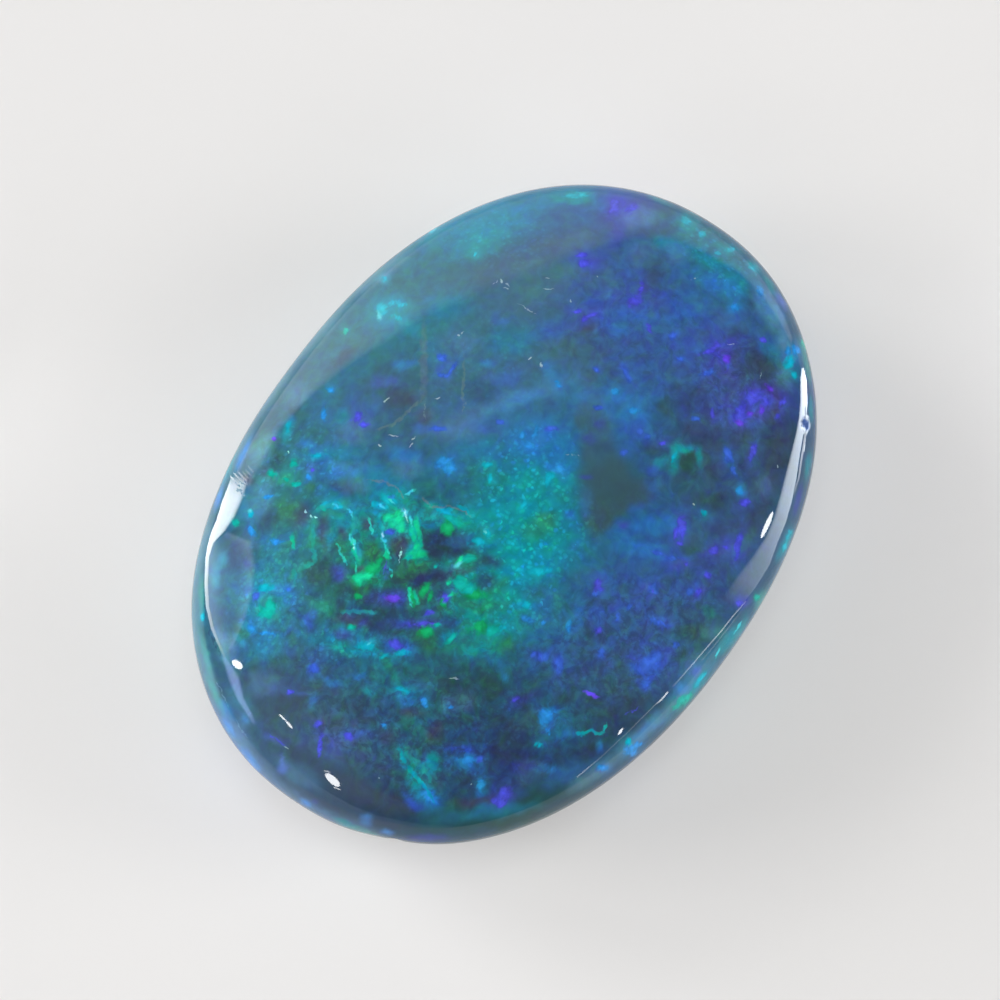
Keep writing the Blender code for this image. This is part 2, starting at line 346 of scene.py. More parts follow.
SHADES = (
    (INK, 0.8, (
        (268, 520, 15, 14, 0), (345, 487, 20, 8, -10), (448, 546, 28, 13, -5), (428, 530, 10, 9, 0),
        (486, 583, 10, 9, 0), (490, 561, 14, 6, 0), (340, 610, 12, 7, 80), (650, 448, 12, 8, 0),
        (700, 428, 16, 10, 0), (765, 362, 24, 15, -30), (515, 738, 30, 20, 60), (468, 782, 10, 8, 0),
        (345, 357, 17, 7, 35), (655, 276, 12, 9, 80), (752, 302, 9, 5, 80), (776, 452, 28, 12, 75),
        (322, 520, 10, 7, 80), (380, 625, 20, 8, -15), (312, 575, 10, 7, 0), (725, 530, 16, 9, 0),
        (712, 470, 14, 9, 80), (240, 550, 26, 16, 85), (495, 755, 18, 10, 0), (300, 750, 34, 16, -25),
        (590, 750, 14, 10, 30), (640, 700, 22, 8, 35), (600, 470, 16, 9, 60), (365, 600, 8, 6, 0),
    )),
    (PLUM, 0.8, (
        (326, 537, 17, 7, 88), (402, 547, 13, 6, 85), (362, 571, 9, 4, 10), (343, 535, 11, 4, 85),
        (396, 545, 13, 8, 80), (386, 738, 9, 8, 0), (440, 574, 36, 6, 8), (412, 712, 12, 5, 0), (435, 730, 12, 7, 80),
        (265, 470, 8, 7, 0), (301, 515, 13, 9, 80), (404, 397, 16, 8, 0), (368, 524, 9, 7, 60), (425, 415, 12, 8, 30),
        (588, 328, 8, 6, 0), (775, 410, 12, 6, 80), (350, 620, 16, 6, -10), (480, 801, 26, 5, 8),
        (360, 790, 40, 10, -20), (250, 480, 7, 5, 0),
    )),
    (DEEP_MOSS, 0.75, (
        (276, 455, 15, 9, 80), (297, 412, 9, 5, 0), (328, 575, 22, 14, 0), (688, 464, 11, 9, 90),
        (695, 632, 17, 11, 0), (590, 638, 9, 6, 90), (690, 548, 9, 6, 0), (626, 667, 20, 11, 80),
        (492, 688, 16, 10, -60), (560, 700, 14, 7, 0), (612, 500, 28, 16, 55), (505, 820, 60, 7, 8),
        (665, 405, 9, 6, 80), (405, 575, 20, 9, 5), (720, 500, 22, 8, 0), (350, 590, 12, 8, 0),
        (540, 800, 30, 10, 12), (455, 690, 14, 9, 0), (592, 700, 12, 6, 0),
    )),
    (OLIVE, 0.85, (
        (374, 549, 12, 5, 88), (418, 569, 14, 5, 5), (427, 641, 13, 11, 90), (404, 567, 18, 8, 8),
        (368, 551, 13, 12, 0), (418, 603, 10, 8, 0), (262, 446, 11, 8, 0), (285, 508, 12, 11, 0),
        (240, 631, 9, 8, -40), (310, 487, 6, 4, 90), (338, 545, 10, 6, 80), (480, 608, 16, 7, -15),
        (545, 520, 10, 7, 0), (445, 607, 8, 4, 60), (366, 592, 7, 5, 0), (505, 645, 9, 6, 0), (292, 640, 8, 5, 60),
    )),
    (JADE, 0.8, (
        (313, 533, 15, 5, 88), (294, 541, 12, 4, 75), (297, 572, 14, 4, 60), (325, 610, 12, 9, 0),
        (334, 510, 15, 6, 20), (350, 550, 14, 9, -75), (535, 530, 20, 12, 20), (500, 585, 14, 8, 30),
        (470, 560, 12, 5, 15), (288, 478, 12, 8, 0), (392, 672, 14, 5, -50), (478, 645, 22, 8, 10),
        (437, 515, 16, 5, -25), (320, 605, 10, 8, 0), (710, 610, 7, 5, 0), (498, 604, 14, 7, 0),
    )),
    (LAGOON, 0.8, (
        (331, 507, 18, 5, 5), (353, 515, 9, 4, -55), (445, 515, 26, 6, -22), (357, 553, 14, 6, -80),
        (288, 430, 12, 4, 65), (342, 416, 9, 6, 0), (320, 454, 16, 4, 5), (392, 500, 20, 10, 12),
        (482, 541, 15, 7, 0), (540, 571, 22, 5, -2), (560, 480, 16, 12, 0), (525, 600, 10, 7, 80),
        (345, 645, 34, 7, -14), (280, 600, 10, 6, 0), (370, 690, 8, 5, 0), (432, 764, 8, 6, 80),
        (412, 775, 32, 6, -57), (688, 225, 10, 10, 0), (725, 249, 13, 6, -20), (752, 266, 8, 5, -40),
        (482, 240, 30, 14, 20), (712, 262, 14, 6, -20), (668, 244, 12, 8, 0), (734, 283, 12, 7, -20),
        (575, 197, 22, 5, 0), (675, 455, 13, 4, 75), (683, 448, 9, 4, 0), (395, 318, 24, 12, -20),
        (525, 480, 20, 14, 60), (505, 515, 16, 12, 0), (662, 462, 7, 5, 60), (735, 632, 22, 6, 55),
        (330, 540, 9, 5, 80), (408, 690, 16, 5, -15), (448, 640, 12, 6, 50),
    )),
    (CORNFLOWER, 0.75, (
        (405, 457, 16, 8, -20), (335, 470, 16, 7, -10), (355, 471, 9, 5, 0), (310, 445, 12, 5, -20),
        (615, 396, 12, 8, 0), (634, 410, 8, 7, 0), (602, 406, 9, 7, 0), (536, 436, 13, 8, 65), (560, 470, 12, 6, -20),
        (568, 515, 7, 5, 0), (575, 545, 8, 5, 20), (730, 462, 14, 5, -70), (660, 525, 26, 9, 0),
        (645, 550, 30, 10, -10), (740, 492, 7, 5, 80), (262, 588, 12, 5, 5), (330, 680, 14, 4, -15),
        (357, 674, 8, 3, 15), (312, 703, 8, 5, 70), (404, 697, 16, 5, -50), (470, 762, 12, 6, 0),
        (482, 788, 9, 6, -60), (545, 718, 14, 8, -60), (568, 735, 9, 6, 0), (548, 770, 12, 4, 0),
        (600, 745, 7, 4, 70), (505, 676, 6, 4, -40), (547, 603, 14, 6, 80), (580, 605, 16, 6, 85),
        (485, 364, 10, 4, 10), (405, 365, 12, 4, 0), (553, 374, 16, 7, -60), (672, 248, 10, 8, 0),
        (720, 285, 30, 9, -25), (735, 307, 6, 5, 0), (777, 312, 11, 6, -60), (520, 400, 34, 8, 22),
        (690, 685, 16, 6, 45), (650, 728, 22, 6, 40), (225, 710, 12, 6, -60), (244, 718.5, 5, 3.5, -30),
        (284, 593, 11, 8, -40),
    )),
    (COBALT_SHADE, 0.75, (
        (636, 432, 16, 11, -50), (628, 374, 16, 6, -75), (632, 300, 14, 12, 0), (475, 427, 18, 6, 0),
        (505, 378, 16, 9, 0), (700, 350, 22, 12, 20), (640, 660, 18, 12, 0), (645, 685, 7, 6, 0),
        (538, 654, 12, 5, 5), (558, 665, 9, 4, 75), (598, 590, 10, 7, 80), (598, 630, 6, 5, 0), (601, 653, 6, 5, 30),
        (660, 620, 13, 6, -10), (672, 556, 18, 4, -18), (676, 532, 14, 6, 85), (740, 546, 13, 5, 75),
        (430, 429, 16, 4, 0), (446, 367, 13, 7, 45), (500, 318, 12, 5, 0), (570, 262, 14, 8, 0),
        (550, 330, 22, 10, 10), (610, 610, 26, 10, 40), (690, 590, 16, 8, 30), (310, 620, 10, 5, 80),
        (395, 645, 14, 8, -10), (355, 735, 16, 6, 0), (463, 748, 18, 4, 0), (290, 690, 24, 4, -12),
        (410, 798, 13, 4, -55), (640, 500, 14, 8, 30), (655, 470, 8, 6, 0),
    )),
    (IRIS, 0.7, (
        (722, 355, 18, 9, -40), (754, 402, 22, 11, 0), (738, 415, 9, 12, 0), (615, 206, 9, 6, 80),
        (630, 209, 9, 5, 30), (615, 235, 18, 8, 60), (583, 260, 11, 9, 0), (590, 317, 14, 5, 20),
        (640, 294, 12, 6, 70), (385, 380, 14, 7, 0), (345, 635, 10, 5, -20), (270, 690, 10, 4, 0),
        (335, 745, 9, 14, 0), (278, 742, 14, 4, -35), (415, 622, 24, 6, 4), (390, 598, 18, 8, 0),
        (341, 574, 10, 9, 0), (720, 548, 20, 5, 0), (650, 588, 11, 7, 0), (625, 525, 7, 7, 0), (503, 798, 12, 7, 0),
        (444, 597, 7, 5, 80), (698, 592, 9, 6, 45), (385, 570, 9, 3, 80), (363, 625, 8, 4, 20), (566, 276, 7, 5, 70),
        (524, 700, 16, 5, 30), (740, 600, 8, 5, 0), (528, 765, 14, 7, 0), (680, 565, 14, 5, 0),
    )),
    (SLATE, 0.9, (
        (597, 496, 40, 17, 90), (624, 487, 30, 17, -20), (594, 440, 30, 15, 80), (604, 517, 18, 11, 60),
        (586, 412, 16, 9, 75), (612, 465, 24, 18, -50),
    )),
    (STEEL, 0.8, ((590, 412, 22, 11, 75), (602, 438, 26, 14, 80), (588, 385, 14, 8, 60))),
    # Painted reflection over the stone's haze: a pale veil across the upper half, the rim and a band through the
    # middle
    (MILK_AND_REFLECTION, 0.12, (
        (640, 330, 130, 110, -30), (350, 390, 90, 60, 45), (735, 480, 70, 120, 0), (640, 640, 110, 90, 30),
        (310, 720, 110, 60, -25), (280, 560, 60, 110, 0), (490, 400, 105, 46, 20), (300, 735, 90, 50, -25),
        (450, 360, 120, 60, 20),
    )),
    (MILK_AND_REFLECTION, 0.16, ((490, 409, 98, 9, 20), (520, 290, 90, 30, 15))),
    (DUSK, 0.7, (
        (779, 448, 26, 13, 75), (768, 484, 24, 10, 75), (755, 522, 16, 8, 60), (760, 372, 20, 13, -40),
        (742, 436, 12, 8, 0), (712, 442, 12, 10, 0), (735, 332, 10, 8, 0), (402, 398, 14, 9, 0),
        (300, 757, 26, 10, -35), (275, 698, 34, 22, -20), (345, 788, 40, 16, -25), (395, 805, 20, 10, -15),
    )),
    (BRIGHT_IRIS, 0.55, (
        (583, 260, 12, 11, 0), (616, 206, 7, 8, 0), (632, 209, 8, 6, 20), (722, 353, 12, 8, -40),
        (752, 401, 14, 9, 0), (643, 668, 9, 8, 0), (656, 661, 8, 10, 0), (645, 685, 6, 6, 0),
    )),
    (STREAK_CYAN, 0.8, (
        (403, 756, 9, 3, -62), (412, 771, 9, 4, -50), (423, 785, 10, 4.5, -52), (433, 761, 6, 6, 0),
        (418, 764, 10, 3, -42),
    )),
    (AZURE, 0.8, ((430, 798, 8, 6, -30),)),
    (COBALT_SHADE, 0.7, ((411, 801, 12, 5, -40), (422, 806, 8, 6, 0))),
    (IRIS, 0.5, ((588, 477, 5, 4, 0), (590, 440, 8, 5, 0), (600, 425, 6, 5, 0), (752, 452, 10, 4, 75))),
    (INK, 0.4, (
        (694, 400, 26, 16, 0), (370, 708, 34, 18, 0), (388, 738, 26, 14, 0), (604, 632, 20, 14, 0),
        (586, 596, 18, 14, 0), (370, 504, 14, 7, 0), (568, 578, 18, 9, 0), (442, 590, 16, 9, 0),
        (532, 702, 22, 14, 0), (316, 504, 16, 10, 0), (478, 390, 24, 12, 0), (604, 447, 12, 8, 0),
        (700, 440, 20, 7, 0), (736, 470, 14, 18, 0), (718, 505, 18, 8, 20),
    )),
    # Painted reflection: pale blue strokes that lighten the inside of the rim and the front flank
    (RIM_BLUE_AND_REFLECTION, 0.45, (
        (256, 503, 26, 14, 60), (228, 650, 22, 12, -60), (776, 325, 32, 10, -62), (700, 672, 34, 9, 48),
        (240, 702, 18, 10, -50), (262, 450, 20, 12, 62), (768, 308, 24, 9, -58), (785, 362, 14, 10, -75),
        (352, 468, 20, 8, 0), (694, 668, 20, 8, 48),
    )),
    (GREY_TEAL, 0.5, ((574, 244, 34, 14, 8), (546, 272, 28, 14, 0), (748, 540, 12, 9, 60), (694, 540, 10, 14, 0))),
    (LIGHT_AQUA, 0.45, ((430, 517, 18, 6, -10),)),
    (CLEAR_ROYAL, 0.35, ((676, 306, 24, 12, -30), (622, 322, 28, 14, 0), (600, 300, 16, 10, 0))),
    (OPEN_AQUA, 0.5, (
        (388, 480, 34, 12, -10), (478, 450, 24, 14, 0), (334, 452, 26, 10, 0), (514, 340, 26, 16, 0),
        (735, 274, 32, 12, -42), (694, 248, 18, 12, 0), (262, 648, 22, 12, 30), (496, 812, 44, 8, 8),
        (442, 306, 26, 14, 0), (770, 350, 14, 9, -60),
    )),
    (CLEAR_TURQUOISE, 0.5, (
        (424, 524, 14, 5, -15), (480, 516, 24, 12, 0), (478, 648, 26, 9, 10), (482, 612, 14, 9, 0),
    )),
    (CURL_TEAL, 0.85, ((433, 761, 7, 8, 0), (676, 460, 4.5, 12, -8), (684, 448, 10, 4, 0), (700, 457, 3, 10, 12))),
    (DEEP_NAVY, 0.75, ((446, 538, 21, 12, -30), (427, 579, 27, 5, 18), (440, 552, 18, 6, -12))),
    (BLOCK_JADE, 0.7, ((467, 589, 9, 11, 0),)),
    (STILL_AQUA, 0.5, ((388, 320, 20, 13, 0), (388, 304, 16, 9, 0))),
    (BRIGHT_LAGOON, 0.5, ((424, 522, 16, 6, -8),)),
    (SLATE_NAVY, 0.3, (
        (442, 592, 20, 12, 0), (532, 592, 14, 9, 0), (694, 540, 16, 16, 0), (550, 594, 12, 9, 0),
        (748, 542, 12, 16, 0), (712, 542, 10, 10, 0), (532, 650, 16, 10, 0),
    )),
    (SAGE, 0.3, (
        (604, 288, 18, 14, 0), (568, 270, 16, 12, 0), (532, 288, 22, 14, 0), (532, 774, 18, 10, 0),
        (532, 720, 18, 12, 0), (532, 288, 16, 10, 0), (570, 268, 12, 8, 0),
    )),
    (DENIM, 0.3, ((244, 594, 9, 14, 0), (352, 504, 14, 9, 0), (586, 578, 14, 9, 0), (424, 684, 16, 9, 0))),
    (PETROL, 0.3, ((406, 612, 14, 8, 0), (694, 548, 10, 8, 0))),
    (ASH, 0.4, ((438, 779, 9, 16, -55),)),
    (CURL_MOSS, 0.8, ((690, 464, 9, 11, 0), (488, 682, 15, 7, -40))),
    (SLATE, 0.75, ((622, 504, 32, 8, 26), (630, 494, 20, 10, 20))),
    # Pale strokes, many along the rim: in part the stone's haze, in part a painted reflection
    (PALE_RIM_REFLECTION, 0.35, (
        (768, 308, 22, 10, -58), (786, 345, 16, 9, -68), (640, 216, 18, 10, 0), (228, 648, 18, 8, -62),
    )),
    (HAZE_AND_REFLECTION, 0.35, (
        (640, 252, 16, 12, 0), (262, 684, 18, 12, 0), (406, 468, 16, 10, 0), (352, 484, 16, 9, 0),
        (676, 252, 14, 12, 0), (460, 342, 22, 14, 0), (766, 486, 10, 14, 0), (298, 774, 24, 10, -35),
        (244, 720, 10, 9, 0), (298, 396, 16, 12, 55), (352, 432, 18, 12, 0), (460, 432, 22, 12, 0),
        (694, 666, 14, 10, 45), (784, 345, 10, 8, 0), (460, 702, 16, 10, 0), (228, 646, 12, 8, -62),
        (248, 540, 9, 10, 0), (262, 504, 9, 10, 0),
    )),
    (SEA_HAZE_AND_REFLECTION, 0.35, ((262, 450, 18, 12, 62), (784, 378, 10, 12, 0), (262, 486, 16, 10, 62), (712, 630, 14, 10, 0))),
    (SOFT_AZURE, 0.35, (
        (568, 378, 16, 12, 0), (460, 540, 12, 8, 0), (658, 486, 12, 9, 0), (730, 324, 16, 12, 0),
        (694, 306, 16, 12, 0), (622, 324, 18, 12, 0), (568, 774, 22, 9, 25), (658, 324, 18, 14, 0),
        (280, 648, 16, 9, 0), (586, 396, 16, 12, 0), (766, 306, 12, 8, -58), (586, 504, 8, 12, 0),
    )),
)

# The flank, laid down sharply: the haze over it, partly the stone's own milkiness and partly a painted reflection of
# the pale table, and the colours that show through it along the rim
FLANK_HAZE_AND_REFLECTION = "#6088b2"
PALE_JADE = "#4aa8a0"
PALE_LAGOON = "#3cb4cc"
FLANK_SKY = "#4c90dc"
FLANK_IRIS = "#5a74cc"
FLANK_SHADES = (
    (MILK_AND_REFLECTION, 0.45, (
        (194, 600, 70, 9, 88), (205, 668, 40, 7, -72), (790, 560, 60, 8, 62), (745, 640, 50, 8, 52),
        (204, 540, 36, 7, 76), (236, 455, 40, 7, 62), (275, 388, 40, 7, 56), (320, 332, 40, 7, 49),
        (380, 274, 40, 6, 37),
    )),
    (FLANK_HAZE_AND_REFLECTION, 0.45, (
        (226, 724, 36, 7, -55), (262, 770, 34, 8, -45), (305, 803, 34, 8, -33), (350, 824, 34, 8, -20),
        (240, 740, 22, 10, -50),
    )),
    (MILK_AND_REFLECTION, 0.4, ((648, 728, 60, 8, 42), (590, 776, 26, 7, 35))),
    (PALE_JADE, 0.5, (
        (202, 596, 18, 3, 91), (206, 655, 24, 3.5, -76), (216, 695, 20, 3.5, -66), (358, 829, 20, 3, -17),
        (807, 366, 20, 3, -78), (762, 600, 12, 5, 62),
    )),
    (LAGOON, 0.6, (
        (228, 470, 20, 3, 68), (345, 823, 11, 3, -24), (811, 408, 14, 2.5, -88), (808, 466, 14, 3, 82),
        (728, 640, 20, 6, 56), (700, 682, 12, 5, 50), (782, 550, 12, 4, 64), (262, 787, 14, 4, -48),
        (560, 195, 24, 3, 3), (660, 200, 14, 3, -22), (770, 285, 12, 3, -58),
    )),
    (PALE_LAGOON, 0.4, (
        (215.5, 576, 14, 5, 88), (223, 560, 9, 5, 80), (754, 268, 4, 3, -45), (240, 640, 9, 4, -40),
        (246, 626, 9, 5, -20),
    )),
    (FLANK_SKY, 0.7, (
        (243, 455, 17, 3, 65), (219, 498, 12, 2.5, 72), (229, 728, 10, 3.5, -58), (366, 820, 6, 6, 0),
        (387, 832, 6, 3, -10), (306, 803, 6, 3, -32), (605, 768, 5, 4, 0), (680, 688, 7, 6, 0),
        (250, 760, 16, 4, -52),
    )),
    (FLANK_IRIS, 0.7, (
        (282.5, 768, 6, 5, 80), (282, 760, 6, 2.5, 85), (781, 301, 10, 3.5, -58), (697, 671, 6, 4, 50),
    )),
    (IRIS, 0.55, (
        (315, 801, 4, 3, 0), (428, 838, 22, 4, 0), (599, 770, 4, 3, 0), (743, 603, 7, 4, 45), (247, 563, 7, 4, 88),
        (798, 500, 16, 3, 76),
    )),
    (DUSK, 0.5, ((330, 806, 40, 5, -27), (385, 824, 26, 4, -12), (560, 805, 40, 5, 22))),
)

# Flashes: small sharp-edged patches that shine brightest
LEAF = "#1ccc98"
GRASS = "#17a568"
MINT = "#14aa9e"
CYAN = "#15a8c0"
PALE_CYAN = "#50c4d2"
SKY = "#2e8cd6"
COBALT = "#3c66cc"
ULTRAMARINE = "#4c54d6"
PURPLE = "#644ae4"
FLASHES = (
    (LEAF, (
        (396, 520, 10, 8, 60), (400, 527, 6, 6, 0), (389, 519, 6, 5, 0), (358, 580, 6, 5, -60), (364, 577, 9, 4, 12),
        (460, 560, 6, 3, 45), (452, 594, 2, 3, 0), (448, 584, 4, 2.5, 90), (410, 592, 8, 2.5, -70),
    )),
    (GRASS, (
        (447, 527, 8, 7, -60), (373, 569, 9, 6, 30), (357, 597, 5, 4, 0), (425, 590, 8, 4, 70),
        (430, 597, 7, 2.5, 85), (380, 561, 3, 3, 0), (412, 598, 9, 3, -75), (472, 594, 12, 6, 0),
        (480, 627, 10, 7, 8), (427, 632, 8, 5, 0), (443, 604, 6, 2.5, -60),
    )),
    (MINT, (
        (413, 533, 14, 4, -70), (419, 546, 8, 4, 80), (418, 555, 9, 7, 0), (408, 558, 5, 2.5, 10),
        (680, 701, 9, 4, 45), (460, 582, 9, 8, 60), (468, 590, 10, 8, -40), (494, 630, 9, 5, 8), (266, 612, 8, 8, 0),
        (271, 605, 5, 5, 0), (468, 559, 9, 4, 10), (452, 520, 13, 4, -28), (350, 627, 5, 3, 0), (272, 474, 5, 4, 0),
        (293, 463, 4, 5, 0), (296, 484, 5, 2.5, 0), (287, 479, 4, 2.5, 0), (436, 566, 3, 2.5, 0),
        (452, 638, 8, 3, 50), (236, 522, 5, 3, 0), (686, 699, 9, 3, 45), (757, 598, 4, 3, 60),
        (804, 345, 5, 2.5, -70), (345, 331, 3, 2.5, 60), (437, 625, 4, 3, 0), (323, 507, 4, 3, 0),
    )),
    (CYAN, (
        (378, 504, 8, 4, 10), (390, 500, 9, 5, -15), (383, 508, 6, 3, 0), (384, 279, 3, 3, 0), (382, 309, 5, 7, 20),
        (393, 303, 7, 2.5, 10), (402, 305, 5, 2.5, 10), (397, 317, 7, 3, -20), (336, 505, 7, 4, -20),
        (327, 504, 7, 3, 10), (264, 588, 9, 5, 10), (703, 234, 4, 4, 0), (686, 220, 5, 5, 0), (367, 646, 10, 5, -10),
        (402, 653, 7, 3, 10), (384, 656, 5, 3, 20), (250, 513, 5, 3, -60), (540, 571, 14, 4, 0), (520, 571, 6, 3, 0),
        (488, 465, 6, 3, 0), (490, 479, 4, 3, 80), (550, 478, 7, 5, 60), (523, 505, 5, 2.5, 62), (487, 533, 4, 4, 0),
        (478, 541, 9, 4, 0), (705, 513, 4, 4, 0), (674, 458, 8, 2.5, 70), (538, 745, 5, 3, 0), (790, 363, 7, 5, 60),
        (795, 374, 4, 4, 0), (731, 250, 6, 2.5, 0), (717, 254, 3, 2.5, 0), (569, 195, 7, 2.5, 0), (581, 195, 8, 3, 0),
        (318, 455, 8, 2.5, 4), (288, 426, 6, 3, 70), (502, 628, 6, 3, 0), (526, 604, 5, 4, 0), (402, 690, 9, 3, -10),
        (434, 230, 6, 2.5, 40), (444, 512, 10, 2.5, -20), (629, 742, 4, 4, 0), (700, 680, 11, 3, 50),
        (789, 535, 5, 2.5, 60), (786, 546, 5, 2.5, 70), (753, 268, 5, 3, -50), (476, 254, 2.5, 2.5, 0),
        (203, 616, 5, 3, 80),
    )),
    (PALE_CYAN, (
        (405, 514, 6, 3, -70), (368, 645, 4, 3, 0), (458, 564, 5, 2.5, 50), (380, 315, 3, 4, 0),
        (384, 279, 2.5, 2.5, 0), (486, 532, 2.5, 2.5, 0), (249, 510, 3, 2.5, -60),
    )),
    (SKY, (
        (443, 463, 9, 6, 10), (449, 467, 7, 8, 0), (390, 498, 6, 3, 0), (329, 390, 4, 4, 0), (324, 415, 3, 6, 0),
        (253, 532, 6, 3, -45), (535, 433, 8, 3, 65), (522, 435, 4, 2.5, 70), (529, 446, 5, 4, 0),
        (560, 469, 7, 4, -10), (634, 410, 5, 4, 0), (615, 392, 5, 4, 0), (546, 716, 11, 8, 40), (549, 731, 5, 3, -60),
        (470, 761, 10, 4, 0), (481, 785, 6, 5, -60), (430, 797, 10, 5, -45), (424, 703, 8, 2.5, -60),
        (450, 706, 4, 2.5, 0), (266, 633, 10, 2.5, -5), (252, 628, 5, 4, 0), (276, 541, 8, 2.5, 0),
        (267, 497, 6, 2.5, 15), (526, 618, 5, 4, 0), (544, 622, 4, 2.5, 0), (569, 627, 5, 2.5, 80),
        (760, 290, 7, 3, -65), (788, 351, 5, 4, -50), (796, 350, 4, 5, 0), (630, 751, 7, 5, 0), (603, 768, 6, 4, 0),
        (639, 744, 4, 3, 0), (739, 491, 4, 4, 0), (559, 384, 6, 2.5, -60), (383, 725, 3, 2.5, 0), (735, 307, 4, 3, 0),
        (309, 477, 3, 2.5, 0),
    )),
    (COBALT, (
        (256, 597, 4, 5, 0), (314, 669, 6, 5, 0), (390, 532, 5, 3, 0), (441, 358, 5, 4, 0), (452, 370, 9, 2.5, 50),
        (442, 376, 7, 2.5, 0), (642, 669, 8, 6, 0), (656, 660, 7, 9, 0), (645, 685, 6, 5, 30), (648, 665, 14, 10, 10),
        (654, 589, 6, 6, 0), (536, 654, 7, 3, 0), (558, 665, 7, 2.5, 75), (601, 653, 4, 4, 30),
        (660, 624, 10, 2.5, -4), (653, 620, 3, 3, 0), (552, 429, 8, 2.5, 0), (628, 375, 9, 3, -60),
        (597, 369, 4, 2.5, -45), (599, 407, 6, 3, 0), (696, 418, 5, 3, 0), (708, 372, 8, 3, 15), (596, 593, 4, 3, 0),
        (658, 553, 7, 2.5, -15), (672, 558, 7, 2.5, 0), (640, 432, 5, 4, 0), (625, 452, 6, 4, 0),
        (648, 436, 4, 3, 60), (618, 617, 5, 2.5, 80), (630, 607, 6, 2.5, 50), (680, 360, 4, 3, 0),
        (673, 335, 4, 3, 0), (478, 760, 4, 4, 0), (728, 455, 9, 4, -68), (733, 470, 7, 3, -65), (543, 657, 8, 4, 10),
        (559, 665, 4, 8, 0), (676, 645, 5, 3, 0), (690, 591, 5, 4, 0), (500, 422, 5, 3, 0), (437, 429, 9, 2.5, 0),
    )),
    (ULTRAMARINE, (
        (358, 416, 5, 5, 0), (364, 425, 5, 3, 0), (348, 736, 5, 4, 0), (320, 745, 11, 2.5, 85), (318, 725, 4, 4, 0),
        (615, 206, 7, 5, 80), (631, 209, 7, 5, 35), (590, 317, 9, 2.5, 22), (577, 311, 5, 2.5, 0),
        (583, 255, 7, 2.5, 0), (584, 264, 6, 4, 0), (641, 289, 6, 3, 80), (635, 301, 7, 5, 0),
        (649, 328, 6, 2.5, -60), (718, 345, 4, 4, 0), (708, 351, 10, 2.5, 15), (740, 412, 6, 9, 0),
        (752, 397, 7, 7, 0), (765, 401, 6, 3, 80), (778, 417, 4, 2.5, 50), (712, 412, 6, 2.5, 80),
        (745, 502, 5, 4, 0), (680, 522, 6, 3, 85), (676, 533, 8, 2.5, 75), (679, 543, 4, 2.5, 0),
        (738, 549, 9, 2.5, 75), (714, 549, 4, 3, 60), (725, 547, 4, 2.5, 0), (707, 576, 4, 3, 0),
        (698, 592, 6, 3, 45), (599, 584, 4, 5, 0), (685, 564, 3, 2.5, 0), (598, 631, 4, 4, 0), (752, 452, 9, 3, 75),
        (505, 793, 8, 6, 40), (500, 802, 7, 5, 0), (653, 590, 4, 3, 0), (740, 417, 9, 8, 0), (756, 397, 11, 7, 0),
        (682, 527, 5, 10, -10), (738, 544, 4, 11, -14), (713, 551, 6, 4, 0), (599, 585, 5, 6, 0),
        (501, 804, 6, 2.5, 0), (424, 624, 13, 2.5, 3), (429, 613, 6, 2.5, 20), (396, 644, 7, 4, -20),
        (662, 443, 4, 2.5, 0), (515, 698, 5, 2.5, 30), (763, 339, 4, 2.5, -30), (783, 402, 6, 2.5, 60),
        (739, 603, 5, 2.5, 0), (444, 598, 4, 5, 0), (313, 470, 3, 2.5, 0), (290, 692, 4, 2.5, 0),
    )),
    (PURPLE, (
        (392, 598, 8, 4, -5), (740, 424, 4, 3, 0), (751, 413, 4, 3, 0), (762, 411, 4, 2.5, 80),
        (769, 388, 4, 2.5, -60), (727, 360, 4, 4, 0), (632, 208, 3, 2.5, 0), (274, 439, 2.5, 2.5, 0),
    )),
)

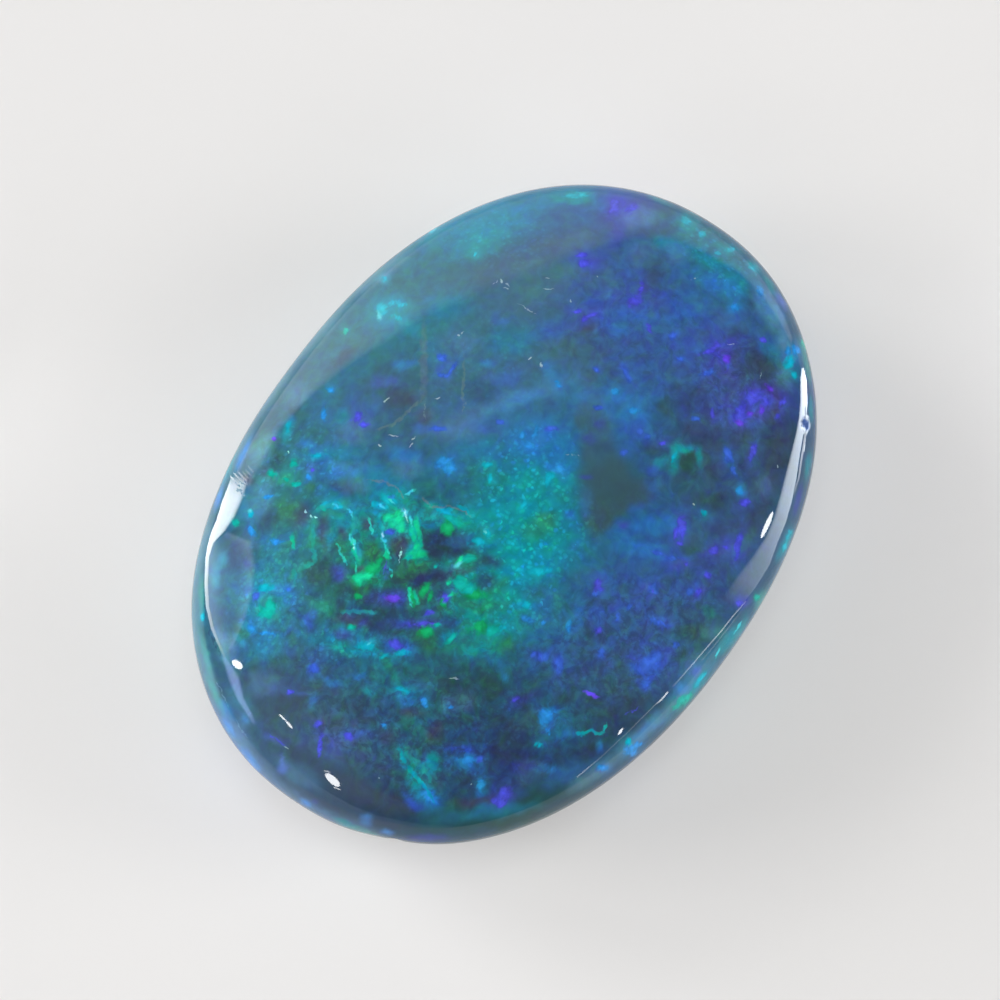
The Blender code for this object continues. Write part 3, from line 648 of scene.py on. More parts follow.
# Fine marks with sharp edges: colour, strength, half width in pixels, and the two ends of each in the picture
FINE_MARKS = (
    # The two upright cracks and the branching one
    ("#587682", 0.55, 4.5, ((424, 326, 424, 400),)),
    ("#5e7a80", 0.55, 2.0, (
        (421, 400, 409, 410), (411, 408, 402, 418), (404, 416, 390, 426), (392, 425, 378, 429), (464, 358, 463, 404),
    )),
    ("#6a8890", 0.45, 1.0, ((425, 402, 424, 413), (424, 412, 427, 420), (466, 400, 462, 412))),
    # The pale scratch that runs over the curtain
    ("#6a7e86", 0.5, 1.4, (
        (368, 480, 387, 482), (386, 482, 395, 487), (394, 486, 402, 494), (401, 492, 404, 499), (423, 497, 431, 507),
        (430, 507, 442, 507), (441, 507, 449, 505), (448, 505, 462, 511), (461, 510, 470, 516),
    )),
    # Dull teal threads of the curtain and of the curl round it
    ("#2a9c9e", 0.7, 2.8, (
        (313, 526, 313, 549), (313, 548, 315, 562), (316, 511, 326, 506), (325, 506, 340, 504), (344, 507, 352, 515),
        (351, 513, 359, 525), (355, 523, 352, 536), (303, 568, 313, 563), (294, 570, 294.5, 581),
        (358, 548, 360, 562), (344, 611.5, 375, 612), (411, 757, 426, 770.5), (425, 769, 430, 780),
    )),
    # Its green threads
    ("#16c49c", 0.85, 2.6, (
        (411, 520, 415, 545), (416, 518, 421, 541), (417, 542, 418, 550), (351, 536, 357, 560),
        (386, 546, 387.5, 561), (414, 592, 418, 603), (292, 535, 293.5, 549),
    )),
    # The streak, and short teal strokes
    ("#12a4ba", 0.9, 2.3, (
        (398.5, 749, 406, 764), (405, 763, 418, 779), (417, 777, 429, 792), (428, 790, 433, 801),
        (577, 733, 585, 732.5), (584, 732.5, 592, 730.5), (459, 506, 467, 511), (437, 514, 452, 509),
    )),
    # The wavy thread at the lower right
    ("#1ca8ae", 0.85, 1.5, ((591, 730.5, 600, 733.5), (599, 733.5, 604, 733), (603, 733, 606, 724))),
    # The foot of the widest curtain fold
    ("#16c49c", 0.9, 5.0, ((413, 554, 422, 554),)),
    # The teal blob beside the streak
    ("#1a8e9a", 0.85, 5.5, ((433, 757, 433, 766),)),
    # Bright threads
    ("#30ccbc", 0.85, 1.4, (
        (337, 543, 341, 555), (341, 553, 347, 565), (369, 518, 371, 528), (371, 525, 373, 536), (382, 538, 387, 549),
        (388, 548, 390, 558), (408, 590, 411, 604), (390, 568, 392, 577), (355.5, 563, 356, 573),
    )),
    # Brighter ones
    ("#40d0e0", 0.9, 1.8, (
        (350, 535, 351, 542), (353, 539, 355, 548), (382, 532, 382, 540), (382, 539, 386, 542), (335, 505, 339, 508),
        (349, 509, 352, 516), (389, 499, 394, 503), (380, 505, 384, 508), (411, 517, 412, 526), (407, 494, 414, 490),
        (741, 622, 734, 634), (720, 648, 715.5, 657),
    )),
    # Their nearly white tips
    ("#9ceeea", 0.85, 1.2, (
        (353, 545, 354, 549), (305.5, 511, 306, 512.5), (315, 517, 317, 518), (311, 516, 312, 517.5),
        (404.5, 510, 407.5, 521), (382, 533, 382.5, 538), (288, 451, 288.5, 452.5), (401, 549, 399, 560),
    )),
    # A violet dash
    ("#6a52ee", 0.95, 2.4, ((586, 692, 597, 697),)),
    # Blue dashes
    ("#4854c8", 0.8, 1.2, (
        (625, 715, 638, 708), (749.8, 460, 753.6, 448), (270, 735, 284, 745), (725.5, 373.5, 728.5, 364.5),
        (384, 573, 386, 561),
    )),
    # Pale flecks: dust and short scratches on the polish, and painted glints of light in tiny pits
    ("#a4c0cc", 0.8, 1.1, (
        (384.5, 402.5, 388.5, 398), (409.7, 441.3, 414.7, 437.5), (388, 435, 397, 436), (458, 336, 463.5, 332),
        (436.7, 398, 438.5, 398), (777, 466, 777.5, 467.5), (411, 446, 413, 444), (379.5, 444.5, 380.5, 445),
        (529, 359, 532, 357), (541, 363, 541, 367), (693, 503, 694, 504), (501, 280, 502, 282), (504, 288, 507, 289),
    )),
    # Fainter ones, dust and painted glints alike
    ("#9ab8c4", 0.6, 0.8, (
        (519, 304, 535.5, 313.5), (542, 288, 553, 289), (727, 344, 736, 343.5), (760.7, 373, 760.7, 378),
        (450, 678, 458, 678), (565, 455, 580, 455.5), (546, 278, 552, 278.5), (494, 284, 497, 280),
        (505, 282, 509, 286), (570, 300, 571, 302), (596, 276, 598, 277), (471, 784, 472, 785), (378, 777, 379, 778),
        (285, 746.5, 288.5, 749), (692, 279, 697, 277),
    )),
    # Long faint scratches on the left flank
    ("#7ea8c0", 0.3, 0.9, ((215, 678, 222, 692), (222, 692, 229, 708), (236, 720, 247, 737))),
    # Painted shade: thin dark lines in the left flank, where the rim beside the bright window mirrors the dark
    ("#2c4262", 0.6, 1.3, (
        (219.5, 508, 213.5, 526), (212.5, 529, 207.5, 546), (204, 592, 206, 620), (208, 628, 221, 658),
    )),
)

# A small pit in the polish, and a nick in the rim: place, half length, half width, turn, and how deep it goes
PIT = (805.5, 424.5, 4.5, 4.5, 0)
PIT_DEPTH = 0.02 * MM
NICK = (390, 844.5, 14, 6, 0)
NICK_DEPTH = 0.05 * MM

# How steep the walls of both are, and from where the skin faces so far away from the camera that it isn't pressed
DENT_WALL = 1.5
DENT_EDGE = 4
HIDDEN_BELOW = -0.3

# What is too rough to mirror: the floor of the pit, and scratches across the top of the left reflection
PIT_MARK = ("#2a4a82", 0.95, 4.4, ((805, 422.5, 806, 426.5),))
HATCHING = (BODY, 0.5, 0.75, (
    (229, 483, 239, 490), (231.5, 480, 243, 488.5), (236, 478.5, 246, 486), (240.5, 478, 248, 484),
    (232, 486.5, 241, 493), (237, 487, 245, 493.5), (240, 491.5, 246, 496),
))

# How steeply each kind of stroke fades: the more, the flatter inside and the sharper at its outline
CLOUD_EDGE = 2
SHADE_EDGE = 3
FLASH_EDGE = 1.5
ZONE_EDGE = 4

# Round each flash the ground takes on a little of its colour
FLASH_BLOOM = 0.3
FLASH_BLOOM_REACH = 1.9

# The vector noise starts from the time of day, so it is seeded, to be the same on every run
DISORDER_SEED = 7
noise.seed_set(DISORDER_SEED)

# No stroke keeps an even edge: size of the disorder on the stone, its amount in pixels, and where in it it starts
FINE_WAVER = (0.08 * MM, 1.2, 12.9)
STROKE_WAVER = (0.2 * MM, 2, 7.7)
CLOUD_WAVER = (0.5 * MM, 14, 3.1)
SHADE_WAVER = (0.3 * MM, 5, 5.3)
FLANK_WAVER = (0.1 * MM, 1.2, 8.3)

# Where the disorder shows strongly, and where small sparks come: place, half length, half width, turn, level
PLAIN_CONTRAST = 0.35
CONTRAST = (
    (530, 280, 110, 60, 10, 0.25),
    (640, 330, 90, 70, -30, 0.48),
    (350, 380, 80, 40, 50, 0.27),
    (420, 700, 250, 120, 0, 0.55),
    (420, 745, 120, 60, 0, 0.65),
    (330, 778, 60, 26, -30, 0.22),
    (270, 700, 40, 30, -40, 0.3),
    (390, 565, 120, 80, 10, 0.65),
    (300, 480, 90, 70, 50, 0.42),
    (290, 600, 60, 70, 0, 0.5),
    (520, 510, 70, 80, 0, 0.4),
    (720, 460, 70, 120, -80, 0.46),
    (740, 380, 50, 50, 0, 0.58),
    (640, 640, 120, 80, 40, 0.58),
    (640, 545, 60, 40, 0, 0.38),
    (608, 475, 40, 36, -60, 0.1),
    (500, 410, 90, 30, 25, 0.3),
)
PLAIN_SPARKS = 0.0
SPARKS = (
    (390, 560, 120, 70, 0, 0.45),
    (440, 730, 100, 60, 0, 0.45),
    (300, 470, 50, 40, 50, 0.7),
    (280, 600, 50, 60, 0, 0.6),
    (525, 510, 70, 80, 0, 1.0),
    (500, 600, 60, 40, 0, 0.8),
    (345, 650, 60, 30, 0, 0.6),
    (500, 240, 60, 30, 0, 0.35),
    (720, 260, 60, 30, -40, 0.5),
    (640, 640, 110, 70, 40, 0.3),
    (740, 400, 50, 40, 0, 0.3),
    (480, 360, 90, 50, 20, 0.2),
    (608, 475, 36, 36, -60, 0.0),
)

# Round the flank the grain is drawn out and calm
FLANK_CALM_HEIGHT = GIRDLE_HEIGHT + 0.25 * MM
FLANK_CALM_SPAN = 0.45 * MM
FLANK_CONTRAST = 0.35

# Under the girdle the bar of colour ends unevenly, and the dark potch that carries it shows
BAR_FOOT = 0.85 * MM
BAR_WAVER = 0.3 * MM
BAR_WAVER_SIZE = 0.9 * MM
BAR_FADE = 0.3 * MM
POTCH_BACK = "#2a323c"
POTCH_COVER = 0.85


def reach_of(stroke, places):
    """How far each place lies from the middle of a stroke: 0 there, 1 on its outline."""
    across, down, half_length, half_width, turn = stroke
    east, north = places[:, 0] - across, down - places[:, 1]
    cos, sin = math.cos(math.radians(turn)), math.sin(math.radians(turn))
    return np.hypot((east * cos + north * sin) / half_length, (north * cos - east * sin) / half_width)


def zoned(zones, places, ground):
    """The level of each point: the ground level, with the zones laid over it."""
    level = np.full(len(places), ground)
    for *zone, amount in zones:
        here = np.exp(-reach_of(zone, places) ** ZONE_EDGE)
        level = level * (1 - here) + amount * here
    return level


def tinted(colour, code, here):
    """The colour with another one laid over it, as strongly at each place as said."""
    return colour * (1 - here[:, None]) + np.array(linear(code)) * here[:, None]


def clouded(places):
    """The colour of the broad clouds."""
    colour = np.tile(np.array(linear(BODY)), (len(places), 1))
    for code, *stroke, strength in CLOUDS:
        colour = tinted(colour, code, strength * np.exp(-reach_of(stroke, places) ** CLOUD_EDGE))
    return colour


def bloomed(colour, places):
    """The colour with the bloom round the flashes laid over it."""
    for code, strokes in FLASHES:
        for stroke in strokes:
            reach = reach_of(stroke, places) / FLASH_BLOOM_REACH
            colour = tinted(colour, code, FLASH_BLOOM * np.exp(-reach**CLOUD_EDGE))
    return colour


def shaded(colour, places, shades):
    """The colour with smaller shades laid over it."""
    for code, strength, strokes in shades:
        for stroke in strokes:
            colour = tinted(colour, code, strength * np.exp(-reach_of(stroke, places) ** SHADE_EDGE))
    return colour


def flashed(places):
    """The colour of the flashes, and how far they cover: 1 in the middle of one, a half on its outline."""
    colour = np.zeros((len(places), 3))
    cover = np.zeros(len(places))
    for code, strokes in FLASHES:
        for stroke in strokes:
            here = np.exp(-math.log(2) * reach_of(stroke, places) ** FLASH_EDGE)
            on_top = here > cover
            colour[on_top] = linear(code)
            cover = np.maximum(cover, here)
    return colour, cover


def wavered(places, points, size, amount, start):
    """The places, each moved a little by a smooth disorder of this size, so that no stroke keeps an even edge."""
    moved = places.copy()
    for i, point in enumerate(points):
        shift = noise.noise_vector(Vector(point) / size + Vector((start, start, start)))
        moved[i, 0] += shift.x * amount
        moved[i, 1] += shift.y * amount
    return moved


def vectors(items, name):
    """A vector of each item, such as the place of every point, one row each."""
    values = np.empty(len(items) * 3)
    items.foreach_get(name, values)
    return values.reshape(-1, 3)


def lay_colours(body):
    """Stores on every point of the stone its colours, how far the flashes cover, and how wild its grain is."""
    points = vectors(body.data.vertices, "co")
    exact = picture_places(points)
    places = wavered(wavered(exact, points, *FINE_WAVER), points, *STROKE_WAVER)
    flash, cover = flashed(places)
    cloud = clouded(wavered(places, points, *CLOUD_WAVER))
    cloud = shaded(bloomed(cloud, places), wavered(places, points, *SHADE_WAVER), SHADES)
    cloud = shaded(cloud, wavered(exact, points, *FLANK_WAVER), FLANK_SHADES)
    waver = np.array([noise.noise(Vector(point) / BAR_WAVER_SIZE) for point in points]) * BAR_WAVER
    bare = POTCH_COVER * np.clip((BAR_FOOT + waver - points[:, 2]) / BAR_FADE, 0, 1)
    cloud = tinted(cloud, POTCH_BACK, bare)
    cover = cover * (1 - bare)
    for name, values in (("cloud_colour", cloud), ("flash_colour", flash)):
        layer = body.data.color_attributes.new(name, "FLOAT_COLOR", "POINT")
        layer.data.foreach_set("color", np.column_stack([values, np.ones(len(values))]).ravel())
    contrast = zoned(CONTRAST, places, PLAIN_CONTRAST)
    contrast *= np.clip((points[:, 2] - FLANK_CALM_HEIGHT) / FLANK_CALM_SPAN, FLANK_CONTRAST, 1)
    sparks = zoned(SPARKS, places, PLAIN_SPARKS) * (1 - bare)
    for name, values in (("flash_cover", cover), ("contrast", contrast), ("sparks", sparks)):
        layer = body.data.attributes.new(name, "FLOAT", "POINT")
        layer.data.foreach_set("value", values)


def press(body, stroke, depth):
    """Presses a small steep-sided dent into the stone where the camera sees this stroke."""
    points = vectors(body.data.vertices, "co")
    normals = vectors(body.data.vertex_normals, "vector")
    push = depth * np.clip(DENT_WALL * (1 - reach_of(stroke, picture_places(points)) ** DENT_EDGE), 0, 1)
    push[normals @ np.array(BACK) < HIDDEN_BELOW] = 0
    body.data.vertices.foreach_set("co", (points - normals * push[:, None]).ravel())
    body.data.update()


press(stone, PIT, PIT_DEPTH)
press(stone, NICK, NICK_DEPTH)
lay_colours(stone)
stone_shape = bmesh.new()
stone_shape.from_mesh(stone.data)
skin = BVHTree.FromBMesh(stone_shape)
stone_shape.free()


def polish_at(place):
    """The point of the stone that shows at this place in the picture, and the direction that it mirrors there."""
    across, down = place
    aim = -BACK * CAMERA_DISTANCE
    aim += RIGHT * (across - PICTURE / 2) * MM_PER_PIXEL - UP * (down - PICTURE / 2) * MM_PER_PIXEL
    aim.normalize()
    spot, _, index, _ = skin.ray_cast(EYE, aim)
    ring = stone.data.polygons[index].vertices
    weights = poly_3d_calc([stone.data.vertices[i].co for i in ring], spot)
    up = sum((stone.data.vertices[i].normal * w for i, w in zip(ring, weights)), Vector()).normalized()
    return spot, aim.reflect(up)


def add_node(tree, kind, settings=None, links=None):
    """Adds a node with its properties and socket values, and the nodes or sockets that feed it."""
    node = tree.nodes.new(kind)
    for name, value in (settings or {}).items():
        if isinstance(name, int) or name in node.inputs:
            node.inputs[name].default_value = value
        else:
            setattr(node, name, value)
    for name, source in (links or {}).items():
        tree.links.new(source.outputs[0] if isinstance(source, bpy.types.Node) else source, node.inputs[name])
    return node


# The polish, in which scratches and the pit are dull, and the opal's refraction
POLISH_ROUGHNESS = 0.03
PIT_ROUGHNESS = 1.0
OPAL_IOR = 1.45

# How many go on a millimetre: bends of the whole pattern, patches of one hue, grains in them, clots and flakes
# that shine together, and glitter as fine as the picture shows
SWIRLS = 3.0
PATCHES = 1.9
GRAINS = 5.0
CLOTS = 6.5
FLAKES = 8.0
GLITTER = 11.0
SPARK_GRAINS = 12.0

# How far the swirls bend the pattern, and how far the glitter frays edges, in millimetres. Noise is half on average.
BEND = 0.25
FRAY = 0.1
NOISE_MIDDLE = (0.5, 0.5, 0.5)

# Fibres stand upright in the picture, which is this turn on the stone; their sizes are in millimetres
FIBRE_TURN = math.radians(34.4)
FIBRE_SIZE = (1 / 3.0, 1 / 11.0, 1 / 6.0)

# How much the patches and the fibres add to the grains and the clots
PATCH_SHARE = 0.3
FIBRE_SHARE = 0.5

# How far the disorder swings: red, green and blue each on their own, then all of them, then their lightness
HUE_SWING = (0.13, 0.75, 0.85)
DISORDER = 1.4
LIGHT_SWING = 0.8

# How much of the dark potch shows between the flakes where the disorder is strongest
GAP_COVER = 0.75

# A spark is a brighter green or blue than its ground: what its own hue brings, and what it has at least
SPARK_HUE = (0.2, 1.0, 1.0)
SPARK_LIFT = (1.2, 1.2, 1.2)

# How much the clots, the flakes and the glitter fray the edge of a flash
FLASH_FRAY = (0.5, 0.5, 0.3)

# How far a spindle reaches past the mark that it draws
SPINDLE_REACH = 1.5


def plain_material(name, colour, roughness):
    material = bpy.data.materials.new(name)
    material.use_nodes = True
    surface = material.node_tree.nodes["Principled BSDF"]
    surface.inputs["Base Color"].default_value = (*linear(colour), 1)
    surface.inputs["Roughness"].default_value = roughness
    return material


def polished_opal():
    """Black opal, ground and polished to a glassy skin over its bar of colour.

    To the eye the polish is clear and sharp, with a few dull scratches, and under it silica domains throw back
    blue, green and violet: grains that gather in patches and upright fibres, with dark potch between them.
    """
    material = bpy.data.materials.new("polished_black_opal")
    material.use_nodes = True
    tree = material.node_tree
    surface = tree.nodes["Principled BSDF"]

    def add(kind, settings=None, links=None):
        return add_node(tree, kind, settings, links)

    where = add("ShaderNodeTexCoord").outputs["Object"]
    place = add("ShaderNodeVectorMath", {"operation": "SCALE", "Scale": 1 / MM}, {0: where})
    swirl = add("ShaderNodeTexNoise", {"Scale": SWIRLS, "Detail": 1.0}, {"Vector": place})
    centred = add("ShaderNodeVectorMath", {"operation": "SUBTRACT", 1: NOISE_MIDDLE}, {0: swirl.outputs["Color"]})
    shift = add("ShaderNodeVectorMath", {"operation": "SCALE", "Scale": BEND}, {0: centred})
    bent = add("ShaderNodeVectorMath", {"operation": "ADD"}, {0: place, 1: shift})

    # Each domain throws back one hue, so red, green and blue vary each on their own, in patches of
    # half a millimetre and again in grains from a fifth of one down to a twentieth
    patches = add("ShaderNodeTexNoise", {"Scale": PATCHES, "Detail": 1.0, "Roughness": 0.5}, {"Vector": bent})
    grains = add("ShaderNodeTexNoise", {"Scale": GRAINS, "Detail": 1.6, "Roughness": 0.6}, {"Vector": bent})
    both = add(
        "ShaderNodeVectorMath", {"operation": "MULTIPLY_ADD", 1: (PATCH_SHARE,) * 3},
        {0: patches.outputs["Color"], 2: grains.outputs["Color"]},
    )
    middle = (1 + PATCH_SHARE) / 2
    centred = add("ShaderNodeVectorMath", {"operation": "SUBTRACT", 1: (middle,) * 3}, {0: both})
    uneven = add("ShaderNodeVectorMath", {"operation": "MULTIPLY", 1: HUE_SWING}, {0: centred})
    contrast = add("ShaderNodeAttribute", {"attribute_name": "contrast"}).outputs["Fac"]
    strength = add("ShaderNodeMath", {"operation": "MULTIPLY", 1: DISORDER}, {0: contrast})
    swing = add("ShaderNodeVectorMath", {"operation": "SCALE"}, {0: uneven, "Scale": strength})
    domains = add("ShaderNodeVectorMath", {"operation": "ADD", 1: (1.0, 1.0, 1.0)}, {0: swing})
    squared = add("ShaderNodeVectorMath", {"operation": "MULTIPLY"}, {0: domains, 1: domains})

    # All colours together grow lighter and darker a little, most along the fibres
    lying = add(
        "ShaderNodeMapping", {"vector_type": "TEXTURE", "Rotation": (0, 0, FIBRE_TURN), "Scale": FIBRE_SIZE},
        {"Vector": bent},
    )
    fibres = add("ShaderNodeTexNoise", {"Scale": 1.0, "Detail": 2.0, "Roughness": 0.6}, {"Vector": lying})
    clots = add("ShaderNodeTexNoise", {"Scale": CLOTS, "Detail": 2.0, "Roughness": 0.6}, {"Vector": bent})
    clot = add("ShaderNodeSeparateXYZ", links={0: clots.outputs["Color"]})
    tone = add("ShaderNodeMath", {"operation": "MULTIPLY_ADD", 1: FIBRE_SHARE}, {0: fibres, 2: clot.outputs[0]})
    tone_off = add("ShaderNodeMath", {"operation": "SUBTRACT", 1: (1 + FIBRE_SHARE) / 2}, {0: tone})
    tone_swing = add("ShaderNodeMath", {"operation": "MULTIPLY"}, {0: tone_off, 1: strength})
    light = add("ShaderNodeMath", {"operation": "MULTIPLY_ADD", 1: LIGHT_SWING, 2: 1.0}, {0: tone_swing})
    shone = add("ShaderNodeVectorMath", {"operation": "SCALE"}, {0: squared, "Scale": light})
    cloud = add("ShaderNodeAttribute", {"attribute_name": "cloud_colour"}).outputs["Color"]
    lit = add("ShaderNodeVectorMath", {"operation": "MULTIPLY"}, {0: cloud, 1: shone})

    # Between the flakes that shine, the dark potch shows through
    flakes = add("ShaderNodeTexNoise", {"Scale": FLAKES, "Detail": 2.0, "Roughness": 0.6}, {"Vector": bent})
    gap = add(
        "ShaderNodeMapRange",
        {"interpolation_type": "SMOOTHSTEP", "From Min": 0.56, "From Max": 0.40}, {"Value": flakes},
    )
    open_ground = add(
        "ShaderNodeMapRange", {"From Min": 0.4, "From Max": 0.8, "To Max": GAP_COVER}, {"Value": contrast}
    )
    gap_depth = add("ShaderNodeMath", {"operation": "MULTIPLY"}, {0: gap, 1: open_ground})
    opened = add(
        "ShaderNodeMix", {"data_type": "RGBA", 7: (*linear(POTCH), 1)}, {0: gap_depth, 6: lit}
    ).outputs[2]

    # Sparks: small round grains, of which some face the eye and shine more
    glitter = add("ShaderNodeTexNoise", {"Scale": GLITTER, "Detail": 1.0, "Roughness": 0.5}, {"Vector": place})
    off = add("ShaderNodeVectorMath", {"operation": "SUBTRACT", 1: NOISE_MIDDLE}, {0: glitter.outputs["Color"]})
    frayed = add("ShaderNodeVectorMath", {"operation": "MULTIPLY_ADD", 1: (FRAY,) * 3}, {0: off, 2: place})
    grain = add("ShaderNodeTexVoronoi", {"Scale": SPARK_GRAINS}, {"Vector": frayed})
    facing = add("ShaderNodeSeparateXYZ", links={0: grain.outputs["Color"]})
    chosen = add("ShaderNodeMapRange", {"From Min": 0.2, "From Max": 0.95}, {"Value": facing.outputs[0]})
    spark_amount = add("ShaderNodeAttribute", {"attribute_name": "sparks"}).outputs["Fac"]
    spark_level = add(
        "ShaderNodeMapRange",
        {"interpolation_type": "SMOOTHSTEP", "From Min": 0.7, "From Max": 0.15},
        {"Value": grain.outputs["Distance"], "To Max": chosen},
    )
    spark_mask = add("ShaderNodeMath", {"operation": "MULTIPLY"}, {0: spark_level, 1: spark_amount})
    spark_hue = add(
        "ShaderNodeVectorMath", {"operation": "MULTIPLY_ADD", 1: SPARK_HUE, 2: SPARK_LIFT},
        {0: grain.outputs["Color"]},
    )
    spark_colour = add("ShaderNodeVectorMath", {"operation": "MULTIPLY"}, {0: lit, 1: spark_hue})
    sparked = add("ShaderNodeMix", {"data_type": "RGBA"}, {0: spark_mask, 6: opened, 7: spark_colour}).outputs[2]

    # Flashes have ragged edges, and are brightest inside, in streaks
    flash = add("ShaderNodeAttribute", {"attribute_name": "flash_colour"}).outputs["Color"]
    cover = add("ShaderNodeAttribute", {"attribute_name": "flash_cover"}).outputs["Fac"]
    edge = cover
    for frayed_by, share in zip((clot.outputs[2], flakes, glitter), FLASH_FRAY):
        edge = add("ShaderNodeMath", {"operation": "MULTIPLY_ADD", 1: share}, {0: frayed_by, 2: edge})
    mask = add(
        "ShaderNodeMapRange",
        {"interpolation_type": "SMOOTHSTEP", "From Min": 0.98, "From Max": 1.38},
        {"Value": edge},
    )
    inner = add("ShaderNodeMath", {"operation": "MULTIPLY_ADD", 1: 1.2}, {0: flakes, 2: cover})
    inner = add("ShaderNodeMath", {"operation": "ADD"}, {0: inner, 1: tone})
    flash_light = add(
        "ShaderNodeMapRange", {"From Min": 1.3, "From Max": 2.5, "To Min": 0.45, "To Max": 1.3}, {"Value": inner}
    )
    flash_lit = add("ShaderNodeVectorMath", {"operation": "SCALE"}, {0: flash, "Scale": flash_light})
    flash_varied = add("ShaderNodeVectorMath", {"operation": "MULTIPLY"}, {0: flash_lit, 1: domains})
    colour = add("ShaderNodeMix", {"data_type": "RGBA"}, {0: mask, 6: sparked, 7: flash_varied}).outputs[2]

    # Fine marks, each a slim spindle that lies in the surface, with its edge a little ragged. Where marks of
    # one group meet, the stronger one holds, so that they join into one line.
    ragged = add("ShaderNodeMath", {"operation": "MULTIPLY_ADD", 1: 1.2, 2: 0.4}, {0: glitter})

    def mark(code, strength, half_width, ends, ground):
        nearest = None
        thick = SPINDLE_REACH * half_width * MM_PER_PIXEL / MM
        for x0, y0, x1, y1 in ends:
            start, stop = polish_at((x0, y0))[0] / MM, polish_at((x1, y1))[0] / MM
            spindle = add("ShaderNodeTexGradient", {"gradient_type": "SPHERICAL"}, {"Vector": frayed})
            spindle.texture_mapping.vector_type = "TEXTURE"
            spindle.texture_mapping.translation = (start + stop) / 2
            spindle.texture_mapping.rotation = (stop - start).to_track_quat("X", "Z").to_euler()
            spindle.texture_mapping.scale = (SPINDLE_REACH * (stop - start).length / 2 + thick, thick, thick)
            level = spindle.outputs["Fac"]
            nearest = add("ShaderNodeMath", {"operation": "MAXIMUM"}, {0: nearest, 1: level}) if nearest else level
        worn = add("ShaderNodeMath", {"operation": "MULTIPLY"}, {0: nearest, 1: ragged})
        cover = add(
            "ShaderNodeMapRange",
            {"interpolation_type": "SMOOTHSTEP", "From Min": 0.13, "From Max": 0.67, "To Max": strength},
            {"Value": worn},
        )
        tint = add("ShaderNodeVectorMath", {"operation": "MULTIPLY", 1: linear(code)}, {0: shone})
        marked = add("ShaderNodeMix", {"data_type": "RGBA"}, {0: cover, 6: ground, 7: tint}).outputs[2]
        return marked, cover

    for group in FINE_MARKS:
        colour, _ = mark(*group, colour)
    colour, hatched = mark(*HATCHING, colour)
    colour, pit = mark(*PIT_MARK, colour)
    tree.links.new(colour, surface.inputs["Base Color"])
    dull = add("ShaderNodeMath", {"operation": "MAXIMUM"}, {0: hatched, 1: pit})
    polish = add("ShaderNodeMapRange", {"To Min": POLISH_ROUGHNESS, "To Max": PIT_ROUGHNESS}, {"Value": dull})
    tree.links.new(polish.outputs[0], surface.inputs["Roughness"])
    surface.inputs["IOR"].default_value = OPAL_IOR
    return material


stone.data.materials.clear()
stone.data.materials.append(polished_opal())
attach(stone, "root")
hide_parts("black_opal")

# The table, a sheet of matt card, which gives the eye an even pale ground with soft shadows and no shine
TABLE_SIZE = 3.0
CARD_WHITE = "#eceae8"
CARD_ROUGHNESS = 0.9
bpy.ops.object.select_all(action="DESELECT")
bpy.ops.mesh.primitive_plane_add(size=TABLE_SIZE, location=(0, 0, 0))
table = bpy.context.object
table.name = "table"
table.data.materials.append(plain_material("matt_white_card", CARD_WHITE, CARD_ROUGHNESS))


def place_camera():
    camera = bpy.data.cameras.new("camera")
    camera.sensor_width = SENSOR
    camera.lens = SENSOR * CAMERA_DISTANCE / FRAME_WIDTH
    camera.clip_start = CLIP_START
    camera.clip_end = CLIP_END
    eye = bpy.data.objects.new("camera", camera)
    bpy.context.scene.collection.objects.link(eye)
    eye.location = EYE
    eye.rotation_euler = BACK.to_track_quat("Z", "Y").to_euler()
    bpy.context.scene.camera = eye


def direction(azimuth, elevation):
    """Seen from the stone: azimuth from straight beyond it, turning to the picture's right, and elevation."""
    turn, rise = math.radians(azimuth), math.radians(elevation)
    level = FAR * math.cos(turn) + RIGHT * math.sin(turn)
    return level * math.cos(rise) + Vector((0, 0, math.sin(rise)))


def between(line, share):
    """The value at this share of the way along a list of evenly spaced lists of numbers."""
    at = share * (len(line) - 1)
    first = min(int(at), len(line) - 2)
    return [a + (b - a) * (at - first) for a, b in zip(line[first], line[first + 1])]


# How many faces of a card lie between two stations
CARD_STEPS = 3


def add_glow(name, stations, profile, distance, colour):
    """A glowing card, placed so that the stone mirrors it where the stations say.

    Each station has the two ends of one cross line in the picture and the brightness there. The profile has
    the share of the way from the first end to the second, and the share of the brightness.
    """
    columns = CARD_STEPS * (len(stations) - 1) + 1
    rows = CARD_STEPS * (len(profile) - 1) + 1
    bpy.ops.object.select_all(action="DESELECT")
    bpy.ops.mesh.primitive_grid_add(
        x_subdivisions=columns - 1, y_subdivisions=rows - 1, size=1, location=(0, 0, 0)
    )
    card = bpy.context.object
    card.name = name
    glow = card.data.attributes.new("glow", "FLOAT", "POINT")
    for point in card.data.vertices:
        x0, y0, x1, y1, brightness = between(stations, min(max(point.co.x + 0.5, 0), 1))
        share, level = between(profile, min(max(point.co.y + 0.5, 0), 1))
        spot, aim = polish_at((x0 + (x1 - x0) * share, y0 + (y1 - y0) * share))
        point.co = spot + aim * distance
        glow.data[point.index].value = brightness * level
    material = bpy.data.materials.new(name)
    material.use_nodes = True
    tree = material.node_tree
    tree.nodes.clear()
    level = add_node(tree, "ShaderNodeAttribute", {"attribute_name": "glow"}).outputs["Fac"]
    emit = add_node(tree, "ShaderNodeEmission", {"Color": (*colour, 1)}, {"Strength": level})
    add_node(tree, "ShaderNodeOutputMaterial", links={0: emit})
    card.data.materials.append(material)
    card.visible_camera = card.visible_diffuse = card.visible_shadow = False


WHITE = (1, 1, 1)
LAVENDER = linear("#c8d2ff")
SLATE_BLUE = linear("#c4d8f0")
PALE_DAYLIGHT = linear("#f0f8ff")
BLUISH = linear("#aebfff")

